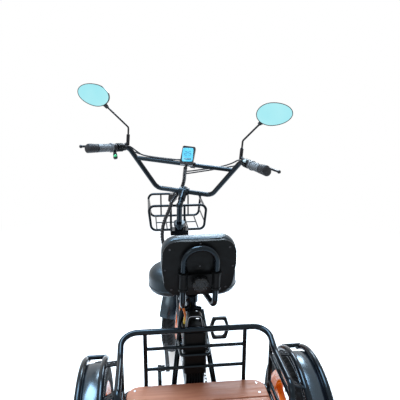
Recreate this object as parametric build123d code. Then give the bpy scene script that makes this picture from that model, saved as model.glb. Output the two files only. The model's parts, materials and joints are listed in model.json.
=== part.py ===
from build123d import *
import math
import os

# Electric tricycle with a rear cargo rack, in millimetres.
# X is to the rider's right, Y is forward, Z is up and the ground is at Z = 0.
# Lengths along Y are counted from the rear axle, and the finished pieces are moved
# so that the origin lies on the ground in the middle of the whole length.

# Wheels
TYRE_R = 257.0
TYRE_W = 62.0
TYRE_SHOULDER = 13.0
TYRE_CROWN_DROP = 3.0
RIM_R = 186.0
RIM_W = 52.0
RIM_LIP = 7.0
RIM_LIP_T = 4.0
RIM_DEPTH = 24.0
SPOKES = 5
SPOKE_W = 34.0
SPOKE_T = 22.0
REAR_HUB_R = 42.0
REAR_HUB_W = 60.0
MOTOR_R = 92.0
MOTOR_W = 66.0
WHEEL_X = 313.0

# Rear axle
STUB_R = 10.0
STUB_L = 48.0
HOUSING_R = 19.0
HOUSING_GAP = 3.0
DIFF_R = 52.0
DIFF_W = 78.0
BRAKE_R = 40.0
BRAKE_T = 9.0
RUN_GAP = 0.3

# Steering axis and fork
WHEELBASE = 970.0
RAKE = 16.0
FORK_OFFSET = 40.0
REST_STEER = 18.7
HEAD_BOTTOM = 362.0
HEAD_TOP = 517.0
HEAD_R = 21.0
CUP_R = 25.0
CUP_H = 18.0
STEERER_R = 14.3
CROWN_H = 34.0
LEG_X = 56.0
LEG_R = 17.0
STANCHION_R = 13.0
LEG_TOP = 205.0
AXLE_R = 6.0

# Stem and handlebar
STEM_TOP = 88.0
COLUMN_R = 12.5
STEM_REACH = 70.0
STEM_RISE = 52.0
STEM_ARM_R = 13.0
STEM_CLAMP_R = 18.0
STEM_CLAMP_W = 46.0
STEM_SLEEVE_R = 17.0
STEM_SLEEVE_L = 52.0
BAR_D = 22.0
LOW_BEND_X = 130.0
HIGH_BEND_X = 255.0
BAR_RISE = 185.0
BAR_BACK = 74.0
GRIP_END_X = 378.0
GRIP_BACK = 243.0
GRIP_RISE = 183.0
BAR_BEND_R = 42.0
CROSSBAR_D = 19.0
CROSSBAR_RISE = 138.0
GRIP_D = 34.0
GRIP_L = 122.0
LEVER_OUT = 56.0

# Display and mirrors
DISPLAY_W = 58.0
DISPLAY_H = 86.0
DISPLAY_T = 15.0
DISPLAY_X = 18.0
DISPLAY_TILT = 28.0
MIRROR_W = 148.0
MIRROR_H = 94.0
MIRROR_T = 18.0
MIRROR_BLUNT = 64.0
MIRROR_TILT = 9.0
MIRROR_LIP = 3.0
MIRROR_ROUND = 11.0
GLASS_T = 2.0
MIRROR_STEM_D = 8.0
MIRROR_RISE = 215.0
MIRROR_BACK = 46.0

# Front fender and basket
FENDER_GAP = 14.0
FENDER_T = 3.0
FENDER_W = 74.0
FENDER_CROWN_R = 88.0
BASKET_Y = 887.0
BASKET_L = 245.0
BASKET_TOP = 806.0
BASKET_H = 120.0
BASKET_HALF = 140.0
BASKET_LOW_HALF = 127.0
BASKET_WIRE = 12.0
BASKET_MESH = 7.0
BASKET_CORNER = 26.0
POST_X = 33.0

# Main frame
MAIN_D = 50.0
BB_Y = 390.0
BB_Z = 352.0
BB_R = 22.0
BB_W = 72.0
MAIN_LOW_Z = 326.0
MAIN_KNEE_Y = 600.0
MAIN_BEND_R = 110.0
SEAT_TUBE_Y = 214.0
SEAT_TUBE_D = 36.0
SEAT_TUBE_TOP = 642.0
POST_D = 30.0
STAY_D = 18.0
STAY_TOP_X = 34.0
STAY_LOW_X = 82.0
STAY_TOP_Z = 612.0
STAY_BAR_Z = 520.0
YOKE_Y = 78.0
YOKE_Z = 290.0
YOKE_D = 34.0
PLATE_X = 110.0
PLATE_T = 12.0

# Drive
SPINDLE_R = 10.0
CRANK_L = 145.0
CRANK_X = 84.0
CRANK_DROP = 2.5
CRANK_T = 14.0
CRANK_BOSS_R = 17.0
CRANK_EYE_R = 13.0
CHAINRING_R = 80.0
CHAIN_X = 47.0
CHAIN_W = 8.0
CHAIN_H = 8.0
SPROCKET_R = 36.0
PEDAL_AXLE_R = 4.5
PEDAL_W = 88.0
PEDAL_L = 102.0
PEDAL_BAR = 12.0
PEDAL_POINT = 14.0

# Battery
BATTERY_W = 76.0
BATTERY_D = 96.0
BATTERY_LOW = 444.0
BATTERY_TOP = 592.0
BATTERY_BACK = 76.0
BATTERY_ROOM = 4.0
RIBBED_H = 58.0
RIBBED_W = 60.0
HANDLE_W = 62.0
HANDLE_H = 56.0
HANDLE_D = 30.0
HANDLE_BAR = 9.0
HANDLE_TAPER = 7.0

# Seat
SEAT_YAW = 2.0
SADDLE_LOW = 700.0
SADDLE_T = 90.0
SADDLE_BACK = 98.0
SADDLE_FRONT = 380.0
SADDLE_HALF = 151.0
HAUNCH_R = 82.0
NOSE_HALF = 52.0
PAN_DEPTH = 16.0
PAN_HALF = 72.0
PAN_L = 190.0
BACK_W = 234.0
BACK_H = 198.0
BACK_Y = 22.0
BACK_Z = 837.0
BACK_LEAN = 11.0
BACK_CROWN_R = 1100.0
SHELL_T = 14.0
SHELL_INSET = 4.0
PAD_T = 42.0
HOOP_D = 18.0
HOOP_HALF = 50.0
HOOP_TOP = 912.0
HOOP_LOW = 704.0
SLEEVE_R = 13.5
SLEEVE_L = 62.0
SLEEVE_RIM = 1.5
SLEEVE_RIM_L = 7.0
CLAMP_SHARE = 0.47
KNOB_R = 26.0

# Cargo rack
RACK_HALF = 236.0
RACK_FRONT = 70.0
RACK_BACK = -222.0
RING_SET = 18.0
LEG_SLANT = 48.0
RAIL_TOP = 610.0
RAIL_SIDE = 580.0
RAIL_D = 19.0
BASE_D = 20.0
PLANK_TOP = 420.0
PLANK_T = 16.0
PLANKS = 3
PLANK_GAP = 4.0
PLANK_ROUND = 2.5
HOOP_POST_X = 162.0
BAR_HEIGHTS = (549.0, 475.0)
SIDE_HEIGHTS = (540.0, 442.0)
THIN_D = 11.0
POST_THICK = 13.0
BEARER_D = 18.0
RACK_LEG_D = 15.0

# Rear guards and fenders
GUARD_Y = -81.0
GUARD_Z = 338.0
GUARD_R = 240.0
GUARD_D = 18.0
GUARD_HALF = 30.0
GUARD_CROSS_D = 14.0
GUARD_CROSS_OUT = 4.0
GUARD_TIP = 52.0
GUARD_END = 186.0
STRAP_YS = (-43.0, -182.0)
STRAP_W = 24.0
STRAP_T = 4.0

SIDES = (("left", -1), ("right", 1))

# The front wheel, turned as it stands, and the rear guards are the two ends of the length
TURN = math.radians(REST_STEER)
LEAN = math.radians(RAKE)
AXIS_FOOT_Y = WHEELBASE - FORK_OFFSET / math.cos(LEAN)
FRONT_REACH = (AXIS_FOOT_Y + FORK_OFFSET * math.cos(TURN)
               + (TYRE_R - TYRE_W / 2) * math.cos(TURN) + TYRE_W / 2)
REAR_REACH = GUARD_Y - GUARD_R - GUARD_CROSS_OUT - GUARD_CROSS_D / 2
ORIGIN_SHIFT = -(FRONT_REACH + REAR_REACH) / 2

STEER_AXIS = Axis((0, AXIS_FOOT_Y, TYRE_R), (0, -math.sin(LEAN), math.cos(LEAN)))


def on_axis(along, ahead=0.0, side=0.0):
    """Point of the straight-ahead steering frame: along the axis, ahead of it, and to the side."""
    y = AXIS_FOOT_Y - along * math.sin(LEAN) + ahead * math.cos(LEAN)
    z = TYRE_R + along * math.cos(LEAN) + ahead * math.sin(LEAN)
    return Vector(side, y, z)


def rod(start, end, diameter):
    """Straight round bar between two points."""
    start = Vector(start)
    end = Vector(end)
    run = end - start
    low = (Align.CENTER, Align.CENTER, Align.MIN)
    return Plane(origin=start, z_dir=run) * Cylinder(diameter / 2, run.length, align=low)


def bent(points, diameter, radii, close=False):
    """Round bar along straight runs joined by arcs."""
    path = FilletPolyline(*[Vector(p) for p in points], radius=radii, close=close)
    section = Plane(origin=path @ 0, z_dir=path % 0) * Circle(diameter / 2)
    return sweep(section, path=path)


def disc(center, radius, width):
    """Round drum whose axle runs along X."""
    return Pos(*center) * Rot(0, 90, 0) * Cylinder(radius, width)


def spun(outline):
    """Ring made by turning an outline of (across, radius) points about the X axis."""
    return revolve(Plane.XZ * outline, axis=Axis.X)


def joined(pieces):
    """One solid out of welded or moulded pieces."""
    whole = pieces[0]
    for piece in pieces[1:]:
        whole = whole + piece
    return whole


def tyre():
    """Tyre carcass with flat-sided walls, shoulders and a low crown, seated between the rim's lips."""
    seat = RIM_W / 2 - RIM_LIP_T
    half = TYRE_W / 2
    belly = (RIM_R + TYRE_R) / 2
    shoulder = TYRE_R - TYRE_SHOULDER
    # Columns: distance from the middle plane, radius
    wall = [(seat, RIM_R), (seat, RIM_R + RIM_LIP + 1), (half - 2, belly - TYRE_SHOULDER), (half, belly),
            (half - 1.5, shoulder - 5), (half - 5, shoulder + 3), (half - 12, TYRE_R - TYRE_CROWN_DROP),
            (half / 4, TYRE_R)]
    other_wall = [(-x, r) for x, r in reversed(wall)]
    return spun(make_face(Polyline(*wall, *other_wall, close=True)))


def cast_wheel(hub_r, hub_w):
    """Cast wheel: channelled rim with two lips, tapering spokes and a hub drum."""
    half = RIM_W / 2
    seat = half - RIM_LIP_T
    well = RIM_R - RIM_DEPTH
    rim = make_face(Polyline(
        (-half, RIM_R - 6), (-half, RIM_R + RIM_LIP), (-seat, RIM_R + RIM_LIP), (-seat, RIM_R),
        (seat, RIM_R), (seat, RIM_R + RIM_LIP), (half, RIM_R + RIM_LIP), (half, RIM_R - 6),
        (SPOKE_T / 2 + 4, well), (-SPOKE_T / 2 - 4, well), close=True))
    root = hub_r * 0.85
    spoke = make_face(Polyline(
        (-SPOKE_W / 2, root), (SPOKE_W / 2, root), (SPOKE_W * 0.32, well + 6),
        (-SPOKE_W * 0.32, well + 6), close=True))
    arm = extrude(Plane.YZ * spoke, amount=SPOKE_T / 2, both=True)
    wheel = spun(rim) + disc((0, 0, 0), hub_r, hub_w)
    for i in range(SPOKES):
        wheel = wheel + Rot(i * 360 / SPOKES, 0, 0) * arm
    return wheel


def mudguard(center, radius, start, end):
    """Arched sheet turned about an X axis: radius of its outer crown, angles from forward over the top."""
    half = FENDER_W / 2
    inner = radius - FENDER_T
    drop = FENDER_CROWN_R - math.sqrt(FENDER_CROWN_R ** 2 - half ** 2)
    section = ThreePointArc((-half, radius - drop), (0, radius), (half, radius - drop))
    section = section + Line((half, radius - drop), (half, inner - drop))
    section = section + ThreePointArc((half, inner - drop), (0, inner), (-half, inner - drop))
    section = section + Line((-half, inner - drop), (-half, radius - drop))
    strip = revolve(Plane.XZ * make_face(section), axis=Axis.X, revolution_arc=end - start)
    return Pos(*center) * Rot(start - 90, 0, 0) * strip


def turned(piece):
    """Turn a piece of the straight-ahead steering to the angle at which it stands."""
    return piece.rotate(STEER_AXIS, -REST_STEER)


def turned_seat(piece):
    """Turn a piece of the seat on its post."""
    return piece.rotate(Axis((0, SEAT_TUBE_Y, 0), (0, 0, 1)), SEAT_YAW)


def rear_wheel(side):
    """Rear wheel with the stub shaft that runs in the axle housing."""
    stub_start = REAR_HUB_W / 2 - 1
    stub = rod((-side * stub_start, 0, 0), (-side * (REAR_HUB_W / 2 + STUB_L), 0, 0), 2 * STUB_R)
    return Pos(side * WHEEL_X, 0, TYRE_R) * (cast_wheel(REAR_HUB_R, REAR_HUB_W) + stub)


def axle_housing():
    """Axle tube with the differential drum, brake plates and the chain's sprocket."""
    half = WHEEL_X - REAR_HUB_W / 2 - HOUSING_GAP
    pieces = [disc((0, 0, TYRE_R), HOUSING_R, 2 * half)]
    pieces.append(disc((0, 0, TYRE_R), DIFF_R, DIFF_W))
    pieces.append(disc((CHAIN_X, 0, TYRE_R), SPROCKET_R, 3))
    for _, side in SIDES:
        pieces.append(disc((side * (half - BRAKE_T / 2), 0, TYRE_R), BRAKE_R, BRAKE_T))
    whole = joined(pieces)
    depth = STUB_L + HOUSING_GAP
    for _, side in SIDES:
        bore = disc((side * (half - depth / 2), 0, TYRE_R), STUB_R + RUN_GAP, depth)
        whole = whole - bore
    return whole


def main_tube(diameter):
    """Step-through tube from the head tube down and back to the axle yoke."""
    neck = on_axis((HEAD_BOTTOM + HEAD_TOP) / 2)
    return bent([neck, (0, MAIN_KNEE_Y, MAIN_LOW_Z), (0, YOKE_Y, YOKE_Z)], diameter, [MAIN_BEND_R])


def main_frame():
    """Head tube, step-through main tube, seat tube, stays and the yoke that clamps the axle."""
    head_low = on_axis(HEAD_BOTTOM)
    head_high = on_axis(HEAD_TOP)
    pieces = [rod(head_low, head_high, 2 * HEAD_R)]
    pieces.append(rod(head_low, on_axis(HEAD_BOTTOM + CUP_H), 2 * CUP_R))
    pieces.append(rod(on_axis(HEAD_TOP - CUP_H), head_high, 2 * CUP_R))
    pieces.append(main_tube(MAIN_D))
    pieces.append(disc((0, BB_Y, BB_Z), BB_R, BB_W))
    pieces.append(rod((0, SEAT_TUBE_Y, MAIN_LOW_Z - 14), (0, SEAT_TUBE_Y, SEAT_TUBE_TOP), SEAT_TUBE_D))
    pieces.append(rod((-PLATE_X, YOKE_Y, YOKE_Z), (PLATE_X, YOKE_Y, YOKE_Z), YOKE_D))
    stay_mid = (STAY_TOP_Z - STAY_BAR_Z) / (STAY_TOP_Z - YOKE_Z)
    mid_x = STAY_TOP_X + stay_mid * (STAY_LOW_X - STAY_TOP_X)
    mid_y = SEAT_TUBE_Y - 12 + stay_mid * (YOKE_Y - SEAT_TUBE_Y + 12)
    mid_z = STAY_TOP_Z + stay_mid * (YOKE_Z - STAY_TOP_Z)
    for _, side in SIDES:
        top = (side * STAY_TOP_X, SEAT_TUBE_Y - 12, STAY_TOP_Z)
        pieces.append(rod(top, (side * STAY_LOW_X, YOKE_Y, YOKE_Z), STAY_D))
        pieces.append(rod((0, SEAT_TUBE_Y - 6, STAY_TOP_Z + 8), top, STAY_D))
        plate = Box(PLATE_T, YOKE_Y + HOUSING_R + 14, 2 * HOUSING_R + 26)
        pieces.append(Pos(side * PLATE_X, (YOKE_Y - HOUSING_R) / 2, TYRE_R + 12) * plate)
    behind = BATTERY_BACK - THIN_D / 2 - BATTERY_ROOM
    pieces.append(bent([(-mid_x, mid_y, mid_z), (-mid_x, behind, mid_z), (mid_x, behind, mid_z),
                        (mid_x, mid_y, mid_z)], THIN_D, [16, 16]))
    frame = joined(pieces)
    frame = frame - rod(on_axis(HEAD_BOTTOM - 5), on_axis(HEAD_TOP + 5), 2 * (STEERER_R + RUN_GAP))
    frame = frame - disc((0, BB_Y, BB_Z), SPINDLE_R + RUN_GAP, BB_W + 10)
    frame = frame - rod((0, SEAT_TUBE_Y, SEAT_TUBE_TOP - 90), (0, SEAT_TUBE_Y, SEAT_TUBE_TOP + 5), POST_D)
    return frame - disc((0, 0, TYRE_R), HOUSING_R, 4 * PLATE_X)


def fork():
    """Steerer, crown, two legs with bright uppers, and the axle that carries the front hub."""
    crown_top = HEAD_BOTTOM - 1
    crown_mid = crown_top - CROWN_H / 2
    tilt = Plane(origin=on_axis(crown_mid, FORK_OFFSET / 2), x_dir=(1, 0, 0), z_dir=STEER_AXIS.direction)
    crown = Box(2 * (LEG_X + LEG_R + 3), FORK_OFFSET + 2 * LEG_R, CROWN_H)
    crown = fillet(crown.edges().filter_by(Axis.Z), LEG_R - 1)
    pieces = [tilt * crown, rod(on_axis(crown_mid), on_axis(HEAD_TOP), 2 * STEERER_R)]
    for _, side in SIDES:
        top = on_axis(crown_mid, FORK_OFFSET, side * LEG_X)
        knee = on_axis(LEG_TOP, FORK_OFFSET, side * LEG_X)
        foot = on_axis(-14, FORK_OFFSET, side * LEG_X)
        pieces.append(rod(knee, top, 2 * STANCHION_R))
        pieces.append(rod(foot, knee, 2 * LEG_R))
    axle_x = LEG_X + LEG_R
    pieces.append(rod(on_axis(0, FORK_OFFSET, -axle_x), on_axis(0, FORK_OFFSET, axle_x), 2 * AXLE_R))
    return joined(pieces)


def stem():
    """Column out of the headset, round knuckle, arm and the thick sleeve that clamps the handlebar."""
    top = on_axis(HEAD_TOP + STEM_TOP)
    clamp = bar_center()
    along = (clamp - top).normalized()
    pieces = [rod(on_axis(HEAD_TOP), top, 2 * COLUMN_R)]
    pieces.append(Pos(*top) * Sphere(STEM_CLAMP_R - 2))
    pieces.append(rod(top, clamp, 2 * STEM_ARM_R))
    pieces.append(rod(clamp - along * STEM_SLEEVE_L, clamp + along * STEM_SLEEVE_R, 2 * STEM_SLEEVE_R))
    pieces.append(disc(clamp, STEM_CLAMP_R, STEM_CLAMP_W))
    return joined(pieces) - disc(clamp, BAR_D / 2, STEM_CLAMP_W + 10)


def bar_center():
    """Middle of the handlebar, held ahead of the column and above its top."""
    top = on_axis(HEAD_TOP + STEM_TOP)
    return top + Vector(0, STEM_REACH, STEM_RISE)


def bar_points(side):
    """Lower bend, upper bend and end of one half of the handlebar."""
    mid = bar_center()
    low = mid + Vector(side * LOW_BEND_X, 0, 0)
    high = mid + Vector(side * HIGH_BEND_X, -BAR_BACK, BAR_RISE)
    end = mid + Vector(side * GRIP_END_X, -GRIP_BACK, GRIP_RISE)
    return low, high, end


def crossbar_end(side):
    """Point where the crossbar meets the rising part of the handlebar."""
    low, high, _ = bar_points(side)
    return low + (high - low) * (CROSSBAR_RISE / BAR_RISE)


def handlebar():
    """High handlebar bent out of one tube, with a crossbar welded between its risers."""
    left = bar_points(-1)
    right = bar_points(1)
    points = [left[2], left[1], left[0], right[0], right[1], right[2]]
    bar = bent(points, BAR_D, [BAR_BEND_R] * 4)
    return bar + rod(crossbar_end(-1), crossbar_end(1), CROSSBAR_D)


def along_grip(side, distance):
    """Point of the bar's axis at a distance inward from its end."""
    _, high, end = bar_points(side)
    return end + (high - end).normalized() * distance


def grip(side):
    """Rubber grip with an end flange, over the bar's end."""
    outer = along_grip(side, -5)
    inner = along_grip(side, GRIP_L)
    sleeve = rod(outer, inner, GRIP_D) + rod(along_grip(side, GRIP_L - 7), inner, GRIP_D + 8)
    sleeve = sleeve + rod(outer, along_grip(side, 3), GRIP_D + 3)
    return sleeve - rod(along_grip(side, 0), along_grip(side, GRIP_L + 10), BAR_D)


def lever_side(side):
    """Direction from the bar towards the fingers, level and square to the grip."""
    _, high, end = bar_points(side)
    run = (end - high).normalized()
    return Vector(run.Y * -side, run.X * side, 0).normalized()


def brake_lever(side):
    """Clamp on the bar, a pivot block and the bent blade ahead of the grip."""
    reach = lever_side(side)
    seat = along_grip(side, GRIP_L + 12)
    clamp = rod(along_grip(side, GRIP_L + 2), along_grip(side, GRIP_L + 22), BAR_D + 12)
    pivot = seat + reach * 30
    blade = bent([pivot, along_grip(side, GRIP_L - 24) + reach * (LEVER_OUT - 6),
                  along_grip(side, 4) + reach * LEVER_OUT], 10, [30])
    block = rod(seat + reach * 8, pivot + reach * 8, 18)
    tip = Pos(*(along_grip(side, 4) + reach * LEVER_OUT)) * Sphere(7.5)
    whole = clamp + block + blade + tip
    return whole - rod(along_grip(side, 0), along_grip(side, GRIP_L + 60), BAR_D)


def switch_box(side):
    """Small control housing beside the brake clamp, with a button standing proud."""
    near = along_grip(side, GRIP_L + 24)
    far = along_grip(side, GRIP_L + 52)
    box = rod(near, far, BAR_D + 16)
    offset = lever_side(side) * -15 + Vector(0, 0, 6)
    lug = rod(near + offset, far + offset, 20)
    button = Pos(*((near + far) * 0.5 + offset * 1.7)) * Sphere(7)
    return (box + lug + button) - rod(along_grip(side, 0), along_grip(side, GRIP_L + 80), BAR_D)


def display_frame():
    """Plane of the display's back, leaning away from the rider above the crossbar."""
    mid = (crossbar_end(-1) + crossbar_end(1)) * 0.5
    origin = mid + Vector(DISPLAY_X, -CROSSBAR_D / 2 - 4, DISPLAY_H * 0.46)
    lean = math.radians(DISPLAY_TILT)
    return Plane(origin=origin, x_dir=(1, 0, 0), z_dir=(0, -math.cos(lean), math.sin(lean)))


def display():
    """Meter case with rounded corners, and the clip that holds it to the crossbar."""
    case = Box(DISPLAY_W, DISPLAY_H, DISPLAY_T)
    case = fillet(case.edges().filter_by(Axis.Z), 7)
    mid = (crossbar_end(-1) + crossbar_end(1)) * 0.5
    clip_x = DISPLAY_X + DISPLAY_W / 2 - 6
    clip = rod(mid + Vector(clip_x - 9, 0, 0), mid + Vector(clip_x + 11, 0, 0), CROSSBAR_D + 9)
    arm = rod(mid + Vector(clip_x, 0, 4), mid + Vector(clip_x - 12, -6, DISPLAY_H * 0.34), 12)
    whole = display_frame() * case + clip + arm
    return whole - rod(crossbar_end(-1), crossbar_end(1), CROSSBAR_D)


# Reach of each mirror's middle from the centre plane, how far its stem's foot stands outside the bar's
# bend, and how far inside the mirror's middle the stem ends: the left one is set further out
MIRROR_REACH = {"left": 412.0, "right": 370.0}
MIRROR_FOOT = {"left": 4.0, "right": -4.0}
MIRROR_NECK = {"left": 56.0, "right": 50.0}


def mirror_points(name, side):
    """Clamp, bend and head of a mirror's stem."""
    foot = bar_points(side)[1] + Vector(side * MIRROR_FOOT[name], 0, 0)
    bend = foot + Vector(0, -4, 88)
    head_x = side * (MIRROR_REACH[name] - MIRROR_NECK[name])
    head = Vector(head_x, foot.Y - MIRROR_BACK + MIRROR_T / 2, foot.Z + MIRROR_RISE - MIRROR_H * 0.44)
    return foot, bend, head


def mirror_stem(name, side):
    """Rubber boot on its clamp and the bent stem up to the mirror."""
    foot, bend, head = mirror_points(name, side)
    base = foot + Vector(0, 0, BAR_D / 2 - 3)
    boot = rod(base, foot + Vector(0, -2, 56), 15)
    stem_bar = bent([foot + Vector(0, -1, 40), bend, head], MIRROR_STEM_D, [16])
    clamp = rod(along_grip(side, GRIP_L + 53), along_grip(side, GRIP_L + 68), BAR_D + 9)
    neck = rod((along_grip(side, GRIP_L + 60)) + Vector(0, 0, 8), base + Vector(0, 0, 10), 12)
    whole = boot + stem_bar + clamp + neck
    return whole - handlebar()


def mirror_plane(name, side):
    """Plane of a mirror's face, looking back at the rider."""
    foot = bar_points(side)[1]
    center = Vector(side * MIRROR_REACH[name], foot.Y - MIRROR_BACK, foot.Z + MIRROR_RISE)
    return Plane(origin=center, x_dir=(1, 0, 0), z_dir=(0, -1, 0))


def mirror_outline(side, inset):
    """Egg-shaped outline of two half ellipses, blunt towards the rider, its axis sloping down inwards."""
    height = MIRROR_H / 2 - inset
    blunt = MIRROR_BLUNT - inset
    slim = MIRROR_W - MIRROR_BLUNT - inset
    shift = MIRROR_BLUNT - MIRROR_W / 2
    egg = EllipticalCenterArc((shift, 0), slim, height, -90, arc_size=180)
    egg = egg + EllipticalCenterArc((shift, 0), blunt, height, 90, arc_size=180)
    face = make_face(egg)
    if side < 0:
        face = mirror(face, about=Plane.YZ)
    return Rot(0, 0, side * MIRROR_TILT) * face


def mirror_shell(name, side):
    """Mirror housing: an egg-shaped shell with a rounded back and a seat for the glass."""
    shell = extrude(mirror_outline(side, 0), amount=-MIRROR_T)
    shell = fillet(shell.faces().sort_by(Axis.Z)[0].edges(), MIRROR_ROUND)
    seat = extrude(mirror_outline(side, MIRROR_LIP), amount=-GLASS_T)
    whole = mirror_plane(name, side) * (shell - seat)
    foot, bend, head = mirror_points(name, side)
    return whole - bent([foot + Vector(0, -1, 40), bend, head], MIRROR_STEM_D, [16])


def mirror_glass(name, side):
    """Mirror glass in the housing's seat."""
    return mirror_plane(name, side) * extrude(mirror_outline(side, MIRROR_LIP), amount=-GLASS_T)


def front_fender():
    """Arched mudguard over the front tyre, its tab to the crown and its two thin braces."""
    hub = on_axis(0, FORK_OFFSET)
    radius = TYRE_R + FENDER_GAP + FENDER_T
    half = FENDER_W / 2
    drop = FENDER_CROWN_R - math.sqrt(FENDER_CROWN_R ** 2 - half ** 2)
    strip = mudguard((0, hub.Y, hub.Z), radius, 52, 172)
    lower = on_axis(HEAD_BOTTOM - CROWN_H - 1, FORK_OFFSET * 0.5)
    tab = rod(on_axis(radius - FENDER_T / 2, FORK_OFFSET * 0.5), lower, 20)
    pieces = [strip, tab]
    angle = math.radians(158)
    edge_r = radius - drop - FENDER_T / 2
    for _, side in SIDES:
        rim = Vector(side * (half - 1), hub.Y + edge_r * math.cos(angle), hub.Z + edge_r * math.sin(angle))
        foot = on_axis(26, FORK_OFFSET - LEG_R - 2, side * (LEG_X - 4))
        pieces.append(rod(foot, rim, 5))
    return joined(pieces)


def headlamp():
    """Small lamp held to the side of the handlebar clamp."""
    mid = bar_center()
    case = Pos(*(mid + Vector(-60, 36, -46))) * Box(32, 42, 38)
    case = fillet(case.edges().filter_by(Axis.Y), 8)
    arm = bent([mid + Vector(-STEM_CLAMP_W / 2, 0, -6), mid + Vector(-46, 8, -10),
                mid + Vector(-56, 34, -34)], 9, [12])
    return (case + arm) - disc(mid, BAR_D / 2, 3 * STEM_CLAMP_W)


def front_basket():
    """Open basket: two upright loops joined by rails, thin floor wires, and the bracket on the head tube."""
    low = BASKET_TOP - BASKET_H
    back = BASKET_Y
    front = BASKET_Y + BASKET_L
    pieces = []
    for y in (back, front):
        loop = [(-BASKET_HALF, y, BASKET_TOP), (BASKET_HALF, y, BASKET_TOP),
                (BASKET_LOW_HALF, y, low), (-BASKET_LOW_HALF, y, low)]
        pieces.append(bent(loop, BASKET_WIRE, [BASKET_CORNER] * 4, close=True))
    floor_x = BASKET_LOW_HALF - BASKET_CORNER
    for _, side in SIDES:
        for drop, thick in ((BASKET_CORNER, BASKET_WIRE - 1), (BASKET_H * 0.7, BASKET_MESH)):
            x = side * (BASKET_HALF + (BASKET_LOW_HALF - BASKET_HALF) * drop / BASKET_H)
            z = BASKET_TOP - drop
            pieces.append(rod((x, back, z), (x, front, z), thick))
        for x in (floor_x, floor_x / 2):
            pieces.append(rod((side * x, back, low), (side * x, front, low), BASKET_MESH))
        pieces.append(rod((side * floor_x / 1.4, front, BASKET_TOP), (side * floor_x / 1.4, front, low),
                          BASKET_MESH + 1))
        pieces.append(rod((side * POST_X, back, BASKET_TOP), (side * POST_X, back, low), BASKET_WIRE - 1))
    cross_y = back + BASKET_L / 2
    pieces.append(rod((-floor_x, cross_y, low), (floor_x, cross_y, low), BASKET_MESH - 1))
    head = on_axis(HEAD_TOP - 42)
    for _, side in SIDES:
        pieces.append(rod((side * POST_X, back, low + 22), (side * POST_X, head.Y, head.Z - 8), 14))
    pieces.append(Pos(0, head.Y + 4, head.Z - 8) * Box(2 * POST_X + 16, 2 * HEAD_R + 18, 22))
    return joined(pieces) - rod(on_axis(HEAD_BOTTOM), on_axis(HEAD_TOP + 60), 2 * HEAD_R)


def crankset():
    """Spindle, two arms set opposite, toothed chainring and the pedal axles."""
    pieces = [disc((0, BB_Y, BB_Z), SPINDLE_R, 2 * CRANK_X)]
    ring = disc((CHAIN_X, BB_Y, BB_Z), CHAINRING_R - CHAIN_H / 2, 3)
    window = disc((CHAIN_X, BB_Y + CHAINRING_R * 0.56, BB_Z), CHAINRING_R * 0.24, 8)
    for i in range(5):
        ring = ring - window.rotate(Axis((0, BB_Y, BB_Z), (1, 0, 0)), i * 72 + 20)
    pieces.append(ring)
    for _, side in SIDES:
        end = pedal_center(side)
        start = Vector(side * CRANK_X, BB_Y, BB_Z)
        eyes = Circle(CRANK_BOSS_R) + Pos(side * CRANK_L, 0) * Circle(CRANK_EYE_R)
        arm = extrude(make_hull(eyes.edges()), amount=CRANK_T / 2, both=True)
        along = Vector(0, end.Y - BB_Y, end.Z - BB_Z) * side
        pieces.append(Plane(origin=start, x_dir=along, z_dir=(1, 0, 0)) * arm)
        pieces.append(rod(Vector(side * CRANK_X, end.Y, end.Z), end + Vector(side * 22, 0, 0),
                          2 * PEDAL_AXLE_R))
    return joined(pieces)


def pedal_center(side):
    """Point of a pedal's axle just outside the crank's end."""
    drop = math.radians(CRANK_DROP)
    y = BB_Y + side * CRANK_L * math.cos(drop)
    z = BB_Z - side * CRANK_L * math.sin(drop)
    return Vector(side * (CRANK_X + 16), y, z)


def pedal_ring():
    """Six-sided ring of flat bar, its inner side at X = 0, standing in the XZ plane."""
    def outline(inset):
        w = PEDAL_W - inset
        h = PEDAL_L / 2 - inset
        point = PEDAL_POINT
        flat = make_face(Polyline((inset, 0), (inset + point, -h), (w - point, -h), (w, 0), (w - point, h),
                                  (inset + point, h), close=True))
        return fillet(flat.vertices(), 9)
    return extrude(Plane.XZ * (outline(0) - outline(PEDAL_BAR)), amount=PEDAL_BAR / 2, both=True)


def open_pedal():
    """Right pedal, unfolded: a six-sided ring on its bearing block."""
    start = pedal_center(1)
    block = disc((start.X + 8, start.Y, start.Z), 11, 26)
    whole = Pos(start.X + 10, start.Y, start.Z) * pedal_ring() + block
    return whole - rod(start - Vector(20, 0, 0), start + Vector(22.5, 0, 0), 2 * (PEDAL_AXLE_R + RUN_GAP))


def folded_pedal():
    """Left pedal, folded: the same ring hangs beside the crank, below its bearing block."""
    start = pedal_center(-1)
    ring = Rot(0, 90, 0) * pedal_ring()
    block = disc((start.X - 8, start.Y, start.Z), 11, 26)
    whole = Pos(start.X - 14, start.Y, start.Z - 2) * Rot(0, 0, 90) * ring + block
    return whole - rod(start + Vector(20, 0, 0), start - Vector(22.5, 0, 0), 2 * (PEDAL_AXLE_R + RUN_GAP))


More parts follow.
